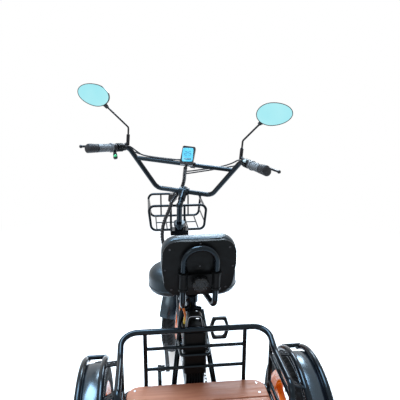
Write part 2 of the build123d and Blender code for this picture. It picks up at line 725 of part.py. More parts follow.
def chain():
    """Closed loop of chain round the chainring and the axle's sprocket."""
    def loop(extra):
        big = CHAINRING_R - CHAIN_H / 2 + extra
        small = SPROCKET_R + extra
        run = Vector(BB_Y, BB_Z - TYRE_R, 0)
        tilt = math.degrees(math.atan2(run.Y, run.X))
        turn = math.degrees(math.acos((small - big) / run.length))
        def at(center, radius, angle):
            a = math.radians(angle)
            return (center[0] + radius * math.cos(a), center[1] + radius * math.sin(a))
        front = (BB_Y, BB_Z)
        rear = (0, TYRE_R)
        up = tilt + turn
        down = tilt - turn
        outline = Line(at(rear, small, up), at(front, big, up))
        outline = outline + ThreePointArc(at(front, big, up), at(front, big, tilt), at(front, big, down))
        outline = outline + Line(at(front, big, down), at(rear, small, down))
        outline = outline + ThreePointArc(at(rear, small, down), at(rear, small, tilt + 180),
                                          at(rear, small, up))
        return make_face(outline)
    band = loop(RUN_GAP + CHAIN_H) - loop(RUN_GAP)
    return Pos(CHAIN_X, 0, 0) * extrude(Plane.YZ * band, amount=CHAIN_W / 2, both=True)


def battery_pack():
    """Battery case behind the seat tube, with the ribbed controller below it."""
    mid_y = BATTERY_BACK + BATTERY_D / 2
    case = Pos(0, mid_y, (BATTERY_LOW + BATTERY_TOP) / 2) * Box(BATTERY_W, BATTERY_D, BATTERY_TOP - BATTERY_LOW)
    case = fillet(case.edges().filter_by(Axis.Z), 14)
    pieces = [case]
    fins = 7
    for i in range(fins):
        x = (i / (fins - 1) - 0.5) * (RIBBED_W - 4)
        pieces.append(Pos(x, mid_y, BATTERY_LOW - RIBBED_H / 2) * Box(4, BATTERY_D - 12, RIBBED_H))
    pieces.append(Pos(0, mid_y, BATTERY_LOW - RIBBED_H / 2) * Box(RIBBED_W, BATTERY_D - 30, RIBBED_H))
    rail_front = SEAT_TUBE_Y - SEAT_TUBE_D / 2
    rail_back = BATTERY_BACK + BATTERY_D
    rail = Box(16, rail_front - rail_back + 6, BATTERY_TOP - BATTERY_LOW - 20)
    pieces.append(Pos(0, (rail_front + rail_back) / 2, (BATTERY_LOW + BATTERY_TOP) / 2) * rail)
    whole = joined(pieces)
    return whole - rod((0, SEAT_TUBE_Y, MAIN_LOW_Z), (0, SEAT_TUBE_Y, SEAT_TUBE_TOP), SEAT_TUBE_D)


def battery_handle():
    """Carrying handle on the battery's top: a loop that narrows upwards, its upper corners rounded."""
    mid_y = BATTERY_BACK + BATTERY_D / 2 - 18
    def outline(inset):
        half = HANDLE_W / 2 - inset
        top = HANDLE_H - inset
        flat = make_face(Polyline((-half, inset), (half, inset), (half - HANDLE_TAPER, top),
                                  (HANDLE_TAPER - half, top), close=True))
        return fillet(flat.vertices().sort_by(Axis.Y)[-2:], 12 - inset / 2)
    loop = extrude(Plane.XZ * (outline(0) - outline(HANDLE_BAR)), amount=HANDLE_D / 2, both=True)
    return Pos(0, mid_y, BATTERY_TOP) * loop


def seat_post():
    """Seat post with its collar on the seat tube and the clamp below the saddle."""
    bottom = SEAT_TUBE_TOP - 90
    top = SADDLE_LOW + PAN_DEPTH
    pieces = [rod((0, SEAT_TUBE_Y, bottom), (0, SEAT_TUBE_Y, top), POST_D)]
    pieces.append(rod((0, SEAT_TUBE_Y, SEAT_TUBE_TOP), (0, SEAT_TUBE_Y, SEAT_TUBE_TOP + 24), SEAT_TUBE_D + 10))
    pieces.append(rod((0, SEAT_TUBE_Y, SEAT_TUBE_TOP + 12), (-44, SEAT_TUBE_Y - 6, SEAT_TUBE_TOP + 12), 9))
    pieces.append(Pos(0, SEAT_TUBE_Y, top - 9) * Box(76, 70, 18))
    return joined(pieces)


def saddle():
    """Broad padded saddle: two round haunches drawn in to a short nose, with a recess in its pan."""
    plan = Pos(0, SADDLE_FRONT - NOSE_HALF) * Circle(NOSE_HALF)
    for _, side in SIDES:
        plan = plan + Pos(side * (SADDLE_HALF - HAUNCH_R), SADDLE_BACK + HAUNCH_R) * Circle(HAUNCH_R)
    body = extrude(Pos(0, 0, SADDLE_LOW) * make_hull(plan.edges()), amount=SADDLE_T)
    body = fillet(body.faces().sort_by(Axis.Z)[-1].edges(), SADDLE_T * 0.4)
    body = fillet(body.faces().sort_by(Axis.Z)[0].edges(), SADDLE_T * 0.22)
    recess = Box(2 * PAN_HALF, 2 * PAN_L, 2 * PAN_DEPTH)
    return body - Pos(0, SADDLE_BACK, SADDLE_LOW) * recess


def back_plane(offset):
    """Plane of the backrest, leaning back, at a distance forward of its rear face."""
    lean = math.radians(BACK_LEAN)
    forward = Vector(0, math.cos(lean), math.sin(lean))
    origin = Vector(0, BACK_Y, BACK_Z) + forward * offset
    return Plane(origin=origin, x_dir=(-1, 0, 0), z_dir=forward)


def back_outline(inset):
    """Rounded outline of the backrest, a little narrower at its foot."""
    w = BACK_W / 2 - inset
    h = BACK_H / 2 - inset
    flat = make_face(Polyline((-w * 0.9, -h), (w * 0.9, -h), (w, h * 0.1), (w * 0.97, h), (-w * 0.97, h),
                              (-w, h * 0.1), close=True))
    lower = flat.vertices().sort_by(Axis.Y)[:2]
    upper = flat.vertices().sort_by(Axis.Y)[-2:]
    flat = fillet(lower + upper, h * 0.5)
    return flat


def backrest_shell():
    """Moulded rear shell of the backrest, its back face crowned both ways."""
    shell = extrude(back_outline(SHELL_INSET), amount=SHELL_T)
    return back_plane(0) * (shell & Pos(0, 0, BACK_CROWN_R) * Sphere(BACK_CROWN_R))


def backrest_pad():
    """Padded front of the backrest."""
    pad = extrude(back_outline(0), amount=PAD_T)
    pad = fillet(pad.faces().sort_by(Axis.Z)[-1].edges(), PAD_T * 0.45)
    return back_plane(SHELL_T + RUN_GAP) * pad


def hoop_points(side):
    """Front end, low bend and shoulder of one leg of the backrest's hoop."""
    lean = math.tan(math.radians(BACK_LEAN))
    gap = HOOP_D / 2 / math.cos(math.radians(BACK_LEAN)) + RUN_GAP
    def behind(z):
        return BACK_Y - gap - (z - BACK_Z) * lean
    front = Vector(side * HOOP_HALF * 0.6, SEAT_TUBE_Y - 39, HOOP_LOW)
    low = Vector(side * HOOP_HALF, behind(HOOP_LOW), HOOP_LOW)
    high = Vector(side * HOOP_HALF, behind(HOOP_TOP), HOOP_TOP)
    return front, low, high


def backrest_hoop():
    """Bent tube that carries the backrest: up behind it and over, with both legs turned under the saddle."""
    left = hoop_points(-1)
    right = hoop_points(1)
    points = [left[0], left[1], left[2], right[2], right[1], right[0]]
    return bent(points, HOOP_D, [32, HOOP_HALF - 2, HOOP_HALF - 2, 32])


def clamp_middle():
    """Direction of the hoop's legs and the middle of the clamp between them."""
    _, low, high = hoop_points(1)
    middle = low + (high - low) * CLAMP_SHARE
    return (high - low).normalized(), Vector(0, middle.Y, middle.Z)


def backrest_clamp():
    """Two rimmed sleeves on the hoop's legs joined by a cross plate."""
    up, middle = clamp_middle()
    pieces = []
    for _, side in SIDES:
        center = middle + Vector(side * HOOP_HALF, 0, 0)
        end = up * (SLEEVE_L / 2)
        pieces.append(rod(center - end, center + end, 2 * SLEEVE_R))
        rim = 2 * (SLEEVE_R + SLEEVE_RIM)
        pieces.append(rod(center + end - up * SLEEVE_RIM_L, center + end, rim))
        pieces.append(rod(center - end, center - end + up * SLEEVE_RIM_L, rim))
    plate = Plane(origin=middle, x_dir=(1, 0, 0), z_dir=up) * Box(2 * HOOP_HALF - SLEEVE_R, 6, SLEEVE_L * 0.72)
    pieces.append(plate)
    whole = joined(pieces) - backrest_hoop()
    return whole - back_plane(0) * extrude(back_outline(0), amount=SHELL_T + PAD_T)


def clamp_knob():
    """Lobed hand knob on the clamp's cross plate."""
    up, middle = clamp_middle()
    out = Vector(0, -up.Z, up.Y)
    face = Plane(origin=middle + out * 3, x_dir=(1, 0, 0), z_dir=out)
    knob = Circle(KNOB_R * 0.8)
    for i in range(6):
        a = math.radians(60 * i)
        knob = knob + Pos(KNOB_R * 0.72 * math.cos(a), KNOB_R * 0.72 * math.sin(a)) * Circle(KNOB_R * 0.3)
    head = Pos(0, 0, 8) * extrude(knob, amount=16)
    return face * (extrude(Circle(9), amount=9) + head)


def rack_rail():
    """Top rail bent out of one tube: across the front, back along both sides and down to the base."""
    half = RACK_HALF
    base_z = PLANK_TOP - PLANK_T - BASE_D / 2
    foot_y = RACK_BACK + LEG_SLANT
    slope_y = RACK_FRONT - 100
    rail = [(-half, foot_y, base_z), (-half, RACK_BACK, RAIL_SIDE), (-half, slope_y, RAIL_SIDE),
            (-half, RACK_FRONT, RAIL_TOP), (half, RACK_FRONT, RAIL_TOP),
            (half, slope_y, RAIL_SIDE), (half, RACK_BACK, RAIL_SIDE), (half, foot_y, base_z)]
    return bent(rail, RAIL_D, [34, 150, 52, 52, 150, 34])


def cargo_rack():
    """Welded rack: bent top rail, posts, bars, base ring and the legs down to the axle yoke."""
    half = RACK_HALF
    base_z = PLANK_TOP - PLANK_T - BASE_D / 2
    foot_y = RACK_BACK + LEG_SLANT
    ring_y = RACK_BACK + RING_SET
    pieces = [rack_rail()]
    ring = [(-half, ring_y, base_z), (half, ring_y, base_z),
            (half, RACK_FRONT, base_z), (-half, RACK_FRONT, base_z)]
    pieces.append(bent(ring, BASE_D, [24, 24, 46, 46], close=True))
    for _, side in SIDES:
        x = side * HOOP_POST_X
        pieces.append(rod((x, RACK_FRONT, base_z), (x, RACK_FRONT, RAIL_TOP), POST_THICK))
        post_y = RACK_FRONT - 52
        x = side * half
        pieces.append(rod((x, post_y, base_z), (x, post_y, RAIL_SIDE + 10), POST_THICK))
        for z in SIDE_HEIGHTS:
            share = (z - base_z) / (RAIL_SIDE - base_z)
            back_y = foot_y + share * (RACK_BACK - foot_y)
            pieces.append(rod((x, back_y, z), (x, post_y, z), THIN_D))
        bearer = side * PLATE_X
        pieces.append(rod((bearer, ring_y, base_z), (bearer, RACK_FRONT, base_z), BEARER_D))
        pieces.append(rod((bearer, 0, TYRE_R + HOUSING_R + 25), (bearer, 0, base_z), RACK_LEG_D))
    for z in BAR_HEIGHTS:
        pieces.append(rod((-HOOP_POST_X, RACK_FRONT, z), (HOOP_POST_X, RACK_FRONT, z), THIN_D))
    return joined(pieces)


def cargo_planks():
    """Wooden floor planks laid across the rack, the front one with rounded corners."""
    front = RACK_FRONT - POST_THICK / 2 - 2
    back = RACK_BACK + RING_SET - BASE_D / 2
    depth = (front - back - (PLANKS - 1) * PLANK_GAP) / PLANKS
    width = 2 * (RACK_HALF - RAIL_D / 2 - 2)
    pieces = []
    for i in range(PLANKS):
        y = front - depth / 2 - i * (depth + PLANK_GAP)
        plank = Pos(0, y, PLANK_TOP - PLANK_T / 2) * Box(width, depth, PLANK_T)
        if i == 0:
            plank = fillet(plank.edges().filter_by(Axis.Z).sort_by(Axis.Y)[-2:], 44)
        edges = plank.faces().sort_by(Axis.Z)[-1].edges()
        pieces.append(fillet(edges, PLANK_ROUND))
    return joined(pieces)


def guard(side):
    """Two bent tubes over a rear wheel, their cross tubes and the straps to the rack's rail."""
    center_x = side * WHEEL_X
    def at(x, angle, outward=0.0):
        a = math.radians(angle)
        radius = GUARD_R + outward
        return Vector(x, GUARD_Y + radius * math.cos(a), GUARD_Z + radius * math.sin(a))
    pieces = []
    for x in (center_x - GUARD_HALF, center_x + GUARD_HALF):
        mid = (GUARD_TIP + GUARD_END) / 2
        path = ThreePointArc(at(x, GUARD_TIP), at(x, mid), at(x, GUARD_END))
        section = Plane(origin=path @ 0, z_dir=path % 0) * Circle(GUARD_D / 2)
        pieces.append(sweep(section, path=path))
    for angle in (GUARD_TIP + 6, GUARD_END - 4):
        start = at(center_x - GUARD_HALF, angle, GUARD_CROSS_OUT)
        end = at(center_x + GUARD_HALF, angle, GUARD_CROSS_OUT)
        pieces.append(rod(start, end, GUARD_CROSS_D))
    for y in STRAP_YS:
        x_near = side * RACK_HALF
        x_far = center_x - side * GUARD_HALF
        angle = math.degrees(math.acos((y - GUARD_Y) / GUARD_R))
        z_far = at(0, angle).Z
        start = Vector(x_near, y, RAIL_SIDE)
        end = Vector(x_far, y, z_far)
        run = end - start
        strap = Plane(origin=(start + end) * 0.5, x_dir=run, z_dir=run.cross(Vector(0, 1, 0)))
        pieces.append(strap * Box(run.length, STRAP_W, STRAP_T))
    return joined(pieces) - rack_rail()


def rear_fender(side):
    """Arched mudguard that bears from below on the two guard tubes."""
    touch = FENDER_CROWN_R + GUARD_D / 2 + RUN_GAP
    radius = GUARD_R - math.sqrt(touch ** 2 - GUARD_HALF ** 2) + FENDER_CROWN_R
    return mudguard((side * WHEEL_X, GUARD_Y, GUARD_Z), radius, GUARD_TIP + 20, GUARD_END + 10)


# Wire loom: a sleeve of cables from the meter down to the frame, in two lengths.
# They meet end to end beside the column, on a plane square to the steering axis.
LOOM_D = 11.0
LOOM_GAP = 0.8
LOOM_JOIN_ALONG = 584.0
LOOM_JOIN_AHEAD = 24.0
LOOM_JOIN_SIDE = -46.0
LOOM_LEAD = 18.0
UPPER_LOOM = ((8, 780, 1010), (-2, 818, 978), (-10, 862, 938), (-20, 870, 894), (-36, 836, 862))
LOWER_LOOM = ((-70, 806, 752), (-79, 808, 704), (-78, 800, 654), (-60, 780, 612), (-22, 752, 580))

# Thin cables from the brake levers and switches: the left ones lie on the crossbar and end behind
# the meter, the right ones pass ahead of the crossbar and join the sleeve below it
CABLE_D = 6.0
CABLE_LEAD = 16.0
METER_ENTRY = -14.0
CABLES = {
    "left_brake_cable": ((-286, 772, 1068), (-258, 796, 1056), (-222, 796, 1046), (-182, 785, 1041.5),
                         (-132, 781.5, 1041), (-82, 782, 1041.5), (-36, 782.5, 1042)),
    "left_switch_cable": ((-240, 746, 1080), (-220, 759, 1063), (-194, 768, 1046), (-152, 772, 1041.5),
                          (-102, 771.5, 1041), (-52, 771.5, 1041.5)),
    "right_brake_cable": ((286, 772, 1068), (256, 798, 1056), (214, 806, 1040), (166, 805, 1026),
                          (116, 808, 1010), (68, 812, 996), (28, 814, 984), (-2, 818, 976)),
    "right_switch_cable": ((240, 746, 1080), (224, 766, 1066), (204, 788, 1052), (172, 794, 1037),
                           (128, 796, 1023), (80, 798, 1010), (38, 800, 998), (4, 804, 990)),
}
# Columns: place across the meter's back, straight length before it
METER_CABLES = {"left_brake_cable": (-16.0, 19.0), "left_switch_cable": (-26.0, 10.0)}

# Power lead of the battery, up beside the seat tube and back down to it
LEAD_D = 8.0
POWER_LEAD = ((-26, 148, 622), (-34, 178, 646), (-38, 208, 640), (-39, 220, 604), (-38, 223, 564),
              (-31, 222, 532), (-14, 217, 508))


def loom(points, diameter):
    """Round sleeve along straight runs joined by arcs as wide as the runs allow."""
    points = [Vector(p) for p in points]
    radii = []
    for a, b, c in zip(points, points[1:], points[2:]):
        turn = math.radians((b - a).get_angle(c - b))
        radii.append(0.45 * min((b - a).length, (c - b).length) / math.tan(turn / 2))
    return bent(points, diameter, radii)


def upper_loom(extra=0.0):
    """Length that turns with the handlebar and ends square to the steering axis."""
    lead = on_axis(LOOM_JOIN_ALONG + LOOM_LEAD, LOOM_JOIN_AHEAD, LOOM_JOIN_SIDE)
    end = on_axis(LOOM_JOIN_ALONG, LOOM_JOIN_AHEAD, LOOM_JOIN_SIDE)
    return loom(list(UPPER_LOOM) + [lead, end], LOOM_D + extra)


def lower_loom():
    """Length that stays with the frame, from below the upper one's end to the main tube's side."""
    turn = -TURN
    side = LOOM_JOIN_SIDE * math.cos(turn) - LOOM_JOIN_AHEAD * math.sin(turn)
    ahead = LOOM_JOIN_SIDE * math.sin(turn) + LOOM_JOIN_AHEAD * math.cos(turn)
    start = on_axis(LOOM_JOIN_ALONG - LOOM_GAP, ahead, side)
    lead = on_axis(LOOM_JOIN_ALONG - LOOM_LEAD, ahead, side)
    return loom([start, lead] + list(LOWER_LOOM), LOOM_D) - main_tube(MAIN_D + 2 * RUN_GAP)


def hand_cable(name):
    """Cable from a brake lever's block or a switch's end along its route."""
    side = -1 if name.startswith("left") else 1
    inward = (along_grip(side, GRIP_L) - along_grip(side, 0)).normalized()
    if "brake" in name:
        start = along_grip(side, GRIP_L + 12) + lever_side(side) * 26 + inward * (9 + RUN_GAP)
    else:
        start = along_grip(side, GRIP_L + 52 + RUN_GAP) + lever_side(side) * -20 + Vector(0, 0, 8)
    points = [start, start + inward * CABLE_LEAD] + list(CABLES[name])
    if name not in METER_CABLES:
        return loom(points, CABLE_D) - upper_loom(2 * RUN_GAP)
    meter = display_frame()
    back = -DISPLAY_T / 2 - RUN_GAP
    across, lead = METER_CABLES[name]
    for depth in (back - lead, back):
        points.append(meter.from_local_coords((across, METER_ENTRY, depth)))
    return loom(points, CABLE_D)


def power_lead():
    """Lead out of the battery's top, round to the seat tube's side."""
    start = Vector(-24, BATTERY_BACK + BATTERY_D * 0.55, BATTERY_TOP + RUN_GAP)
    route = loom([start, start + Vector(0, 0, 14)] + list(POWER_LEAD), LEAD_D)
    return route - rod((0, SEAT_TUBE_Y, MAIN_LOW_Z), (0, SEAT_TUBE_Y, SEAT_TUBE_TOP), SEAT_TUBE_D + 2 * RUN_GAP)


def build():
    """All nodes by name, at the pose in which the tricycle stands."""
    nodes = {
        "main_frame": main_frame(),
        "rear_axle_housing": axle_housing(),
        "battery_pack": battery_pack(),
        "battery_handle": battery_handle(),
        "seat_post": turned_seat(seat_post()),
        "saddle": turned_seat(saddle()),
        "backrest_shell": turned_seat(backrest_shell()),
        "backrest_pad": turned_seat(backrest_pad()),
        "backrest_hoop": turned_seat(backrest_hoop()),
        "backrest_clamp": turned_seat(backrest_clamp()),
        "clamp_knob": turned_seat(clamp_knob()),
        "cargo_rack": cargo_rack(),
        "cargo_planks": cargo_planks(),
        "front_basket": front_basket(),
        "chain": chain(),
        "lower_loom": lower_loom(),
        "power_lead": power_lead(),
        "crankset": crankset(),
        "right_pedal": open_pedal(),
        "left_pedal": folded_pedal(),
    }
    for name, side in SIDES:
        nodes[name + "_guard"] = guard(side)
        nodes[name + "_rear_fender"] = rear_fender(side)
        nodes[name + "_rear_rim"] = rear_wheel(side)
        nodes[name + "_rear_tyre"] = Pos(side * WHEEL_X, 0, TYRE_R) * tyre()
    hub = on_axis(0, FORK_OFFSET)
    bore = disc((0, 0, 0), AXLE_R + RUN_GAP, 2 * MOTOR_W)
    steered = {
        "fork": fork(),
        "stem": stem(),
        "handlebar": handlebar(),
        "display": display(),
        "headlamp": headlamp(),
        "front_fender": front_fender(),
        "upper_loom": upper_loom(),
        "front_rim": Pos(*hub) * (cast_wheel(MOTOR_R, MOTOR_W) - bore),
        "front_tyre": Pos(*hub) * tyre(),
    }
    for name, side in SIDES:
        steered[name + "_grip"] = grip(side)
        steered[name + "_brake_lever"] = brake_lever(side)
        steered[name + "_switch"] = switch_box(side)
        steered[name + "_mirror_stem"] = mirror_stem(name, side)
        steered[name + "_mirror_shell"] = mirror_shell(name, side)
        steered[name + "_mirror_glass"] = mirror_glass(name, side)
    for name in CABLES:
        steered[name] = hand_cable(name)
    for name, piece in steered.items():
        nodes[name] = turned(piece)
    return nodes


os.makedirs("parts", exist_ok=True)
for node, piece in build().items():
    export_step(Pos(0, ORIGIN_SHIFT, 0) * piece, os.path.join("parts", node + ".step"))
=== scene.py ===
import json
import math

import bmesh
import bpy
import numpy as np
from mathutils import Matrix, Vector
from mathutils.bvhtree import BVHTree


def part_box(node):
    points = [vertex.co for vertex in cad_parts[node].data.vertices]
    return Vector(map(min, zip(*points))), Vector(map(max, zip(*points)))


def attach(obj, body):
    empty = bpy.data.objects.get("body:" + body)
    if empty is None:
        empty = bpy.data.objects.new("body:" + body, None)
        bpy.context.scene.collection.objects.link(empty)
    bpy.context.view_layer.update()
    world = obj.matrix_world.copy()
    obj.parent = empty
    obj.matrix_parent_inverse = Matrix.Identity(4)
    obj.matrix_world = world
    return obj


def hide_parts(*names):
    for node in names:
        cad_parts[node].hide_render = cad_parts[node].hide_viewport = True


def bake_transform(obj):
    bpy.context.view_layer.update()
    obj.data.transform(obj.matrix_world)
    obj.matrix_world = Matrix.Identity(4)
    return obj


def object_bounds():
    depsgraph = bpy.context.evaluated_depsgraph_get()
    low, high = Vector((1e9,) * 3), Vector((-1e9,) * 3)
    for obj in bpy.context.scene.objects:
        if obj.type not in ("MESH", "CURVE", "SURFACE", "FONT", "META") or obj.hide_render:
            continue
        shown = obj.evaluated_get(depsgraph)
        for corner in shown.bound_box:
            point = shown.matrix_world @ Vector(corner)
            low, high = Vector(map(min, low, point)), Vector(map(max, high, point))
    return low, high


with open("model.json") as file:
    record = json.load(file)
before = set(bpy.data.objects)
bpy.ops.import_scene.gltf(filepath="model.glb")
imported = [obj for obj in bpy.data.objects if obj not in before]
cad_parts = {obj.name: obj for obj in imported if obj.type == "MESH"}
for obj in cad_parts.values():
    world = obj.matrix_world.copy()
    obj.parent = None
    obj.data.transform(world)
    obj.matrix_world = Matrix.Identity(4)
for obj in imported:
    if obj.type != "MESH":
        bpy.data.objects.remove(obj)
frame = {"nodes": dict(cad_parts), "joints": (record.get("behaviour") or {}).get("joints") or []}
cad_low, cad_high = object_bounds()
nodes = frame["nodes"]
joints = {joint["name"]: joint for joint in frame["joints"]}
scene = bpy.context.scene

# Camera: it stands behind the left rear wheel at chest height and looks forward and down over the
# rack. Its place is counted from the ground below the middle of the rear axle.
axle_y = joints["left_rear_wheel"]["pos_m"][1]
CAMERA_PLACE = Vector((-0.1451, axle_y - 1.2789, 1.3845))
CAMERA_YAW = math.radians(6.66)
CAMERA_PITCH = math.radians(14.25)
CAMERA_ROLL = math.radians(0.279)
CAMERA_LENS = 42.12
camera = bpy.data.objects.new("camera", bpy.data.cameras.new("camera"))
scene.collection.objects.link(camera)
camera.data.lens = CAMERA_LENS
camera.data.sensor_width = 36.0
ahead = Vector((math.sin(CAMERA_YAW) * math.cos(CAMERA_PITCH),
                math.cos(CAMERA_YAW) * math.cos(CAMERA_PITCH), -math.sin(CAMERA_PITCH)))
level = Vector((math.cos(CAMERA_YAW), -math.sin(CAMERA_YAW), 0.0))
upright = level.cross(ahead)
right = level * math.cos(CAMERA_ROLL) + upright * math.sin(CAMERA_ROLL)
top = upright * math.cos(CAMERA_ROLL) - level * math.sin(CAMERA_ROLL)
turned = Matrix((right, top, -ahead)).transposed().to_4x4()
camera.matrix_world = Matrix.Translation(CAMERA_PLACE) @ turned
scene.camera = camera


# Stage: a plain pale floor that keeps the shadow and runs out to white, a white surround, and three soft
# panels of light. The high one is blue as an open sky is; one fills from behind, and one edges from ahead.
def wire(tree, made, sockets):
    """Give each socket of a shader node a value, or a link where another node's output is given."""
    for key, value in sockets.items():
        if isinstance(value, bpy.types.NodeSocket):
            tree.links.new(value, made.inputs[key])
        else:
            made.inputs[key].default_value = value
    return made


def node(tree, kind, sockets, operation=None):
    """New shader node of a kind, with an operation where the kind has several, and its sockets given."""
    made = tree.nodes.new("ShaderNode" + kind)
    if operation:
        made.operation = operation
    return wire(tree, made, sockets)


def white_to_eye(tree, shader, glow):
    """Mix in which camera, glossy and transmitted rays see the glow, and all others the plain shader."""
    rays = node(tree, "LightPath", {}).outputs
    seen = node(tree, "Math", {0: rays["Is Camera Ray"], 1: rays["Is Glossy Ray"]}, "MAXIMUM").outputs[0]
    seen = node(tree, "Math", {0: seen, 1: rays["Is Transmission Ray"]}, "MAXIMUM").outputs[0]
    return node(tree, "MixShader", {"Fac": seen, 1: shader, 2: glow}).outputs[0]


FLOOR_HALF = 14.0
FLOOR_COLOR = (0.9, 0.9, 0.9, 1.0)
FLOOR_LIFT = 0.4
FLOOR_NEAR = 1.3
FLOOR_FAR = 3.2
WHITE = (1.0, 1.0, 1.0, 1.0)
WORLD_LIGHT = (0.86, 0.92, 1.0, 1.0)
WORLD_STRENGTH = 0.55
# Columns: place, aim, size in metres, power in watts, colour
PANELS = (((-0.4, 0.2, 3.0), (0.0, 0.0, 0.6), 1.3, 130.0, (0.6, 0.8, 1.0)),
          ((-2.6, -2.6, 2.4), (0.0, -0.1, 0.7), 1.6, 26.0, (1.0, 0.98, 0.95)),
          ((0.7, 2.5, 2.6), (0.0, 0.0, 0.9), 1.1, 75.0, (0.72, 0.87, 1.0)))

floor_mesh = bpy.data.meshes.new("floor")
floor_mesh.from_pydata([(x * FLOOR_HALF, y * FLOOR_HALF, cad_low.z)
                        for x, y in ((-1, -1), (1, -1), (1, 1), (-1, 1))], [], [(0, 1, 2, 3)])
floor = bpy.data.objects.new("floor", floor_mesh)
scene.collection.objects.link(floor)
floor_paper = bpy.data.materials.new("floor_paper")
floor_paper.use_nodes = True
tree = floor_paper.node_tree
tree.nodes.remove(tree.nodes["Principled BSDF"])
matt = node(tree, "BsdfDiffuse", {"Color": FLOOR_COLOR}).outputs[0]
glow = node(tree, "Emission", {"Strength": FLOOR_LIFT}).outputs[0]
lifted = node(tree, "AddShader", {0: matt, 1: glow}).outputs[0]
place = node(tree, "TexCoord", {}).outputs["Object"]
reach = node(tree, "VectorMath", {0: place}, "LENGTH").outputs["Value"]
fade = node(tree, "MapRange", {"Value": reach, "From Min": FLOOR_NEAR, "From Max": FLOOR_FAR})
fade.interpolation_type = "SMOOTHSTEP"
far_white = node(tree, "Emission", {"Strength": 1.0}).outputs[0]
faded = node(tree, "MixShader", {"Fac": fade.outputs["Result"], 1: lifted, 2: far_white}).outputs[0]
tree.links.new(white_to_eye(tree, matt, faded), tree.nodes["Material Output"].inputs["Surface"])
floor_mesh.materials.append(floor_paper)

world = bpy.data.worlds.new("surround")
scene.world = world
world.use_nodes = True
tree = world.node_tree
fill = wire(tree, tree.nodes["Background"], {"Color": WORLD_LIGHT, "Strength": WORLD_STRENGTH}).outputs[0]
white = node(tree, "Background", {"Color": WHITE, "Strength": 1.0}).outputs[0]
tree.links.new(white_to_eye(tree, fill, white), tree.nodes["World Output"].inputs["Surface"])
for number, (place, aim, size, power, color) in enumerate(PANELS):
    lamp = bpy.data.lights.new("panel_%d" % number, "AREA")
    lamp.size = size
    lamp.energy = power
    lamp.color = color
    panel = bpy.data.objects.new("panel_%d" % number, lamp)
    panel.location = place
    panel.rotation_euler = (Vector(aim) - Vector(place)).to_track_quat("-Z", "Y").to_euler()
    scene.collection.objects.link(panel)
scene.view_settings.view_transform = "Standard"


# Frame: welded steel tubes in black gloss paint. The same paint is on the fork, the
# handlebar, the rack, the guards, the basket and the hoop of the backrest.
def noise(scale, detail=2.0, stretch=(1, 1, 1), distortion=0.0):
    """Cloudy pattern with so many waves a metre, drawn out along the axes by a stretch."""
    return "TexNoise", "Fac", stretch, {"Scale": scale, "Detail": detail, "Distortion": distortion}


PATTERN_SPAN = (0.3, 0.7)
COAT_ROUGH = 0.08


def finish_of(name, color, rough, bump, metallic=0.0, coat=0.0, shine=0.5, tint=(1.0, 1.0, 1.0)):
    """New material on Object coordinates. One pattern picks the colour from (place, red, green, blue) stops,
    one moves the roughness between two values, and one raises the surface by a strength and a depth."""
    material = bpy.data.materials.new(name)
    material.use_nodes = True
    tree = material.node_tree

    def drawn(pattern):
        kind, output, stretch, values = pattern
        place = node(tree, "TexCoord", {}).outputs["Object"]
        mapped = node(tree, "Mapping", {"Vector": place, "Scale": stretch}).outputs["Vector"]
        return node(tree, kind, {"Vector": mapped, **values}).outputs[output]

    color_by, *stops = color
    rough_by, low, high = rough
    bump_by, strength, depth = bump
    ramp = node(tree, "ValToRGB", {"Fac": drawn(color_by)})
    elements = ramp.color_ramp.elements
    for index in (0, -1):
        elements[index].position = stops[index][0]
        elements[index].color = (*stops[index][1:], 1.0)
    for place, *tone in stops[1:-1]:
        elements.new(place).color = (*tone, 1.0)
    rubbed = node(tree, "MapRange", {"Value": drawn(rough_by), "From Min": PATTERN_SPAN[0],
                                     "From Max": PATTERN_SPAN[1], "To Min": low, "To Max": high})
    raised = node(tree, "Bump", {"Height": drawn(bump_by), "Strength": strength, "Distance": depth})
    plain = (np.array(stops[0][1:]) + np.array(stops[-1][1:])) / 2
    shader = wire(tree, tree.nodes["Principled BSDF"], {
        "Base Color": (*plain, 1.0), "Roughness": (low + high) / 2, "Metallic": metallic, "Coat Weight": coat,
        "Coat Roughness": COAT_ROUGH, "Specular IOR Level": shine, "Specular Tint": (*tint, 1.0)})
    wire(tree, shader, {"Base Color": ramp.outputs["Color"], "Roughness": rubbed.outputs["Result"],
                        "Normal": raised.outputs["Normal"]})
    return material


def dress(material, *names):
    """Give a material to CAD nodes."""
    for name in names:
        nodes[name].data.materials.clear()
        nodes[name].data.materials.append(material)


# Blue specular tint: a painted sky reflection, turning the white reflections of the black paint, the
# mudguards and the vinyl blue.
PAINTED_SKY_REFLECTION = (0.62, 0.84, 1.0)
black_paint = finish_of(
    "black_gloss_paint", (noise(9, 4), (0.35, 0.0024, 0.0028, 0.004), (0.65, 0.0042, 0.0048, 0.0062)),
    (noise(35, 3), 0.1, 0.22), (noise(240), 0.012, 0.0003), shine=0.26, tint=PAINTED_SKY_REFLECTION)
dress(black_paint, "main_frame", "fork", "stem", "handlebar", "cargo_rack", "left_guard", "right_guard",
      "front_basket", "backrest_hoop", "seat_post", "rear_axle_housing")

# Tyres: black rubber with a road tread of cut blocks, moulded ribs on the walls and the bead
# seated in the rim's channel. The tread is cut into the crown, so its tops have the tyre's radius.
TYRE_RADIUS = 0.257
TYRE_HALF = 0.031
TYRE_BELLY = 0.2215
TYRE_POWER = 2.6
BEAD_HALF = 0.0215
BEAD_RADIUS = 0.1863
BEAD_DROP = 0.030
CROWN_START = 0.16
CROWN_COLUMNS = 37
WALL_COLUMNS = 9
RIB_HEIGHT = 0.0006
RIB_FROM = 0.205
RIB_WAVES = 420.0
RIB_WALL = 0.028
RIB_CREST = 0.8
TREAD_DEPTH = 0.0034
TREAD_BAND = 0.019
TREAD_PITCHES = 64
TREAD_STEPS = 8
GROOVE_PLACE = 0.0095
GROOVE_SWING = 0.0035
GROOVE_HALF = 0.0016
CUT_SPAN = (0.011, 0.0285)
CUT_SLANT = 34.0
CUT_SHARE = 0.26


